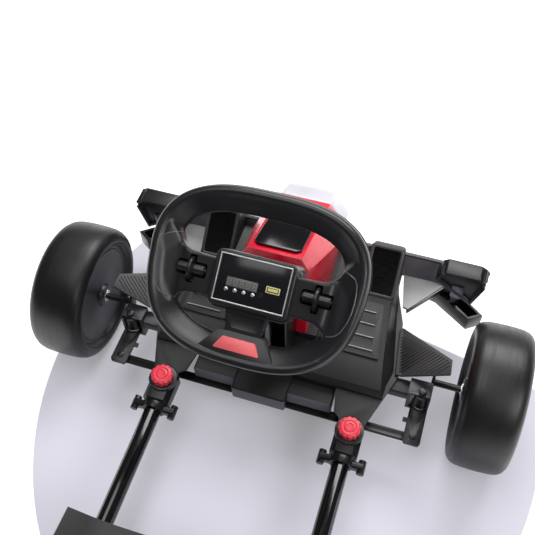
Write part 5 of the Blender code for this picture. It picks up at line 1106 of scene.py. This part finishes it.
# The rear frame is welded steel channel under black powder coat, and the axle is turned zinc-plated
# rod. The gear cases are moulded nylon, each with three screws on its inner face.

GEAR_Y, GEAR_Z = -0.340, 0.115
SCREW_RING = 0.0345
SCREW_NEAR = 0.012

softened("rear_frame", powder_coat, "black_steel", 0.0010)
softened("rear_axle", zinc, "zinc_steel", 0.0006, 2, 40)
softened("rear_bumper", enamel, "black_steel", 0.0008, 2, 40)
gear_plastic = moulded("charcoal_nylon_case", "2b2b2e", 0.44, grain=0.12)
for side, word in SIDES:
    case = softened("gearbox_" + word, gear_plastic, "grey_plastic", 0.0016, 3, 24, 32)
    spots = [v.co for v in case.data.vertices]
    places = []
    for turn in (115, 180, 245):
        y = GEAR_Y + SCREW_RING * math.cos(math.radians(turn))
        z = GEAR_Z + SCREW_RING * math.sin(math.radians(turn))
        near = [v.x for v in spots if abs(v.y - y) < SCREW_NEAR and abs(v.z - z) < SCREW_NEAR]
        if near:
            inner = min(near) if side > 0 else max(near)
            places.append(facing(-side, inner + side * 0.0006, y, z))
    if places:
        finished(repeated(hex_bolt(0.0028, 0.0024), places), "gearbox_screws_" + word,
                 cad["gearbox_" + word]["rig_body"], zinc, "zinc_steel")


# The seat is one blow-moulded shell with rolled edges and a satin grain.

seat_plastic = moulded("blow_moulded_seat", "1c1c1e", 0.42, grain=0.12)
softened("seat_shell", seat_plastic, "black_plastic", 0.0018, 3, 30)


# The cushions are foam under knitted grey-black fabric. Air swells the foam away from the shell that
# carries it, and the cover is soft and a little fuzzy.

KNIT_PITCH = 0.0016
CUSHION_SHRINK = 0.985
CUSHION_VOXEL = 0.005
AIR_PRESSURE = 4.0
AIR_STIFFNESS = 20.0
AIR_FRAMES = 20
SWELL_CAP = 0.008


def knitted(name, colour, pale, pitch):
    """Knitted cover: rows of small loops in the bump, painted paler on the loops and darker between them as
    painted light and shade.
    """
    look, tree, here = new_material(name)
    yarn = {"Scale": WAVE / pitch, "Distortion": 1.2, "Detail": 1.0}
    rows = add(tree, "TexWave", {**yarn, "bands_direction": "X"}, here)
    loops = add(tree, "TexWave", {**yarn, "bands_direction": "DIAGONAL"}, here)
    knit = add(tree, "Math", {"operation": "MULTIPLY"}, {0: rows.outputs["Fac"], 1: loops.outputs["Fac"]})
    fuzz = add(tree, "TexNoise", {"Scale": 240.0, "Detail": 4.0}, here)
    wear = add(tree, "TexNoise", {"Scale": 12.0, "Detail": 3.0}, here)
    height = add(tree, "Math", {"operation": "ADD"}, {0: knit, 1: fuzz.outputs["Fac"]})
    worn = add(tree, "MapRange", {"To Min": 0.75, "To Max": 0.95}, {"Value": wear.outputs["Fac"]})
    covered(tree, (linear(colour), linear(pale)), height, height, (0.6, 0.0005),
            {"Sheen Weight": 0.35, "Sheen Roughness": 0.5, "IOR": 1.45}, {"Roughness": worn})
    return look


def puffed(name, outward):
    """A cushion remeshed, swollen by air as cloth away from what carries it, and subdivided."""
    pad = solid_copy(name)
    spots = [v.co for v in pad.data.vertices]
    middle = Vector([(min(v[i] for v in spots) + max(v[i] for v in spots)) / 2 for i in range(3)])
    pad.data.transform(Matrix.Translation(middle) @ Matrix.Diagonal((*[CUSHION_SHRINK] * 3, 1.0))
                       @ Matrix.Translation(-middle))
    modified(pad, "REMESH", mode="VOXEL", voxel_size=CUSHION_VOXEL, use_smooth_shade=True)
    before = [(v.co.copy(), max(0.0, v.normal.dot(outward)) ** 0.5) for v in pad.data.vertices]
    air = pad.modifiers.new("air", "CLOTH")
    air.settings.quality = 6
    air.settings.use_pressure = True
    air.settings.uniform_pressure_force = AIR_PRESSURE
    air.settings.effector_weights.gravity = 0.0
    air.settings.tension_stiffness = AIR_STIFFNESS
    air.settings.compression_stiffness = AIR_STIFFNESS
    scene = bpy.context.scene
    for frame_number in range(1, AIR_FRAMES + 1):
        scene.frame_set(frame_number)
    alone(pad)
    bpy.ops.object.modifier_apply(modifier=air.name)
    scene.frame_set(1)
    for vertex, (was, free) in zip(pad.data.vertices, before):
        move = vertex.co - was
        vertex.co = was + move * free * min(1.0, SWELL_CAP / max(move.length, 1e-6))
    modified(pad, "SMOOTH", factor=0.5, iterations=4)
    return modified(pad, "SUBSURF", levels=1, render_levels=1)


knit = knitted("knitted_polyester_cover", "1b1b20", "3d3d45", KNIT_PITCH)
for name, outward in (("seat_cushion", UP), ("back_cushion", Vector((0, 0.97, 0.24)))):
    pad = skinned(puffed(name, outward), name, knit, "seat_fabric", sharp=60)


# The lap belt is woven polyester through the seat's sides, with a moulded buckle at its middle.

WEFT_PITCH, WARP_PITCH = 0.0012, 0.0024
BUCKLE_X, BUCKLE_Y = (-0.0235, 0.0235), (-0.2060, -0.1640)
RELEASE_X, RELEASE_Y = (0.0040, 0.0180), (-0.1950, -0.1750)

belt_look, tree, here = new_material("woven_polyester_belt")
weft = add(tree, "TexWave", {"Scale": WAVE / WEFT_PITCH, "bands_direction": "X"}, here)
warp = add(tree, "TexWave", {"Scale": WAVE / WARP_PITCH, "bands_direction": "Y"}, here)
weave = add(tree, "Math", {"operation": "MULTIPLY"}, {0: weft.outputs["Fac"], 1: warp.outputs["Fac"]})
# The weave's raised threads are painted paler and its hollows darker, painted light and shade from the
# weave's height.
covered(tree, (linear("121214"), linear("3a3a3f")), weave, weave, (0.7, 0.0005),
        {"Roughness": 0.72, "Sheen Weight": 0.2, "IOR": 1.45}, {})

belt = softened("lap_belt", belt_look, "webbing", 0.0006, 2, 24, 34)
top = max(v.co.z for v in belt.data.vertices if abs(v.co.x) < 0.030)
belt_body = cad["lap_belt"]["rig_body"]
buckle = box_between(BUCKLE_X, BUCKLE_Y, (top - 0.0030, top + 0.0012), 0.0011, 3)
finished(buckle, "belt_buckle", belt_body, clamp_plastic, "black_plastic")
release = box_between(RELEASE_X, RELEASE_Y, (top + 0.0002, top + 0.0022), 0.0008, 3)
release_red = moulded("red_release_button", "d8122c", 0.22, grain=0.0, coat=0.2)
finished(release, "belt_release", belt_body, release_red, "red_plastic")


# The battery is a sealed grey moulded case, in a moulded black box under the seat.

box_plastic = moulded("ribbed_battery_box", "202023", 0.46, grain=0.12)
case_plastic = moulded("sealed_battery_case", "3e3e42", 0.40, grain=0.10)
softened("battery_box", box_plastic, "black_plastic", 0.0012)
softened("battery", case_plastic, "grey_plastic", 0.0014, 3)


# The control box is a moulded case with two rocker switches and a charge socket beside them.

rocker_red = moulded("red_rocker", "d8122c", 0.18, grain=0.0, coat=0.3)
rocker_black = moulded("black_rocker", "0f0f12", 0.16, grain=0.0, coat=0.3)
socket_plastic = moulded("black_socket", "151518", 0.26, grain=0.02)
softened("control_box", body_plastic, "black_plastic", 0.0016, 3)
softened("power_switch", rocker_red, "red_plastic", 0.0008, 3)
softened("direction_switch", rocker_black, "gloss_black", 0.0008, 3)
softened("charge_socket", socket_plastic, "gloss_black", 0.0006, 2)
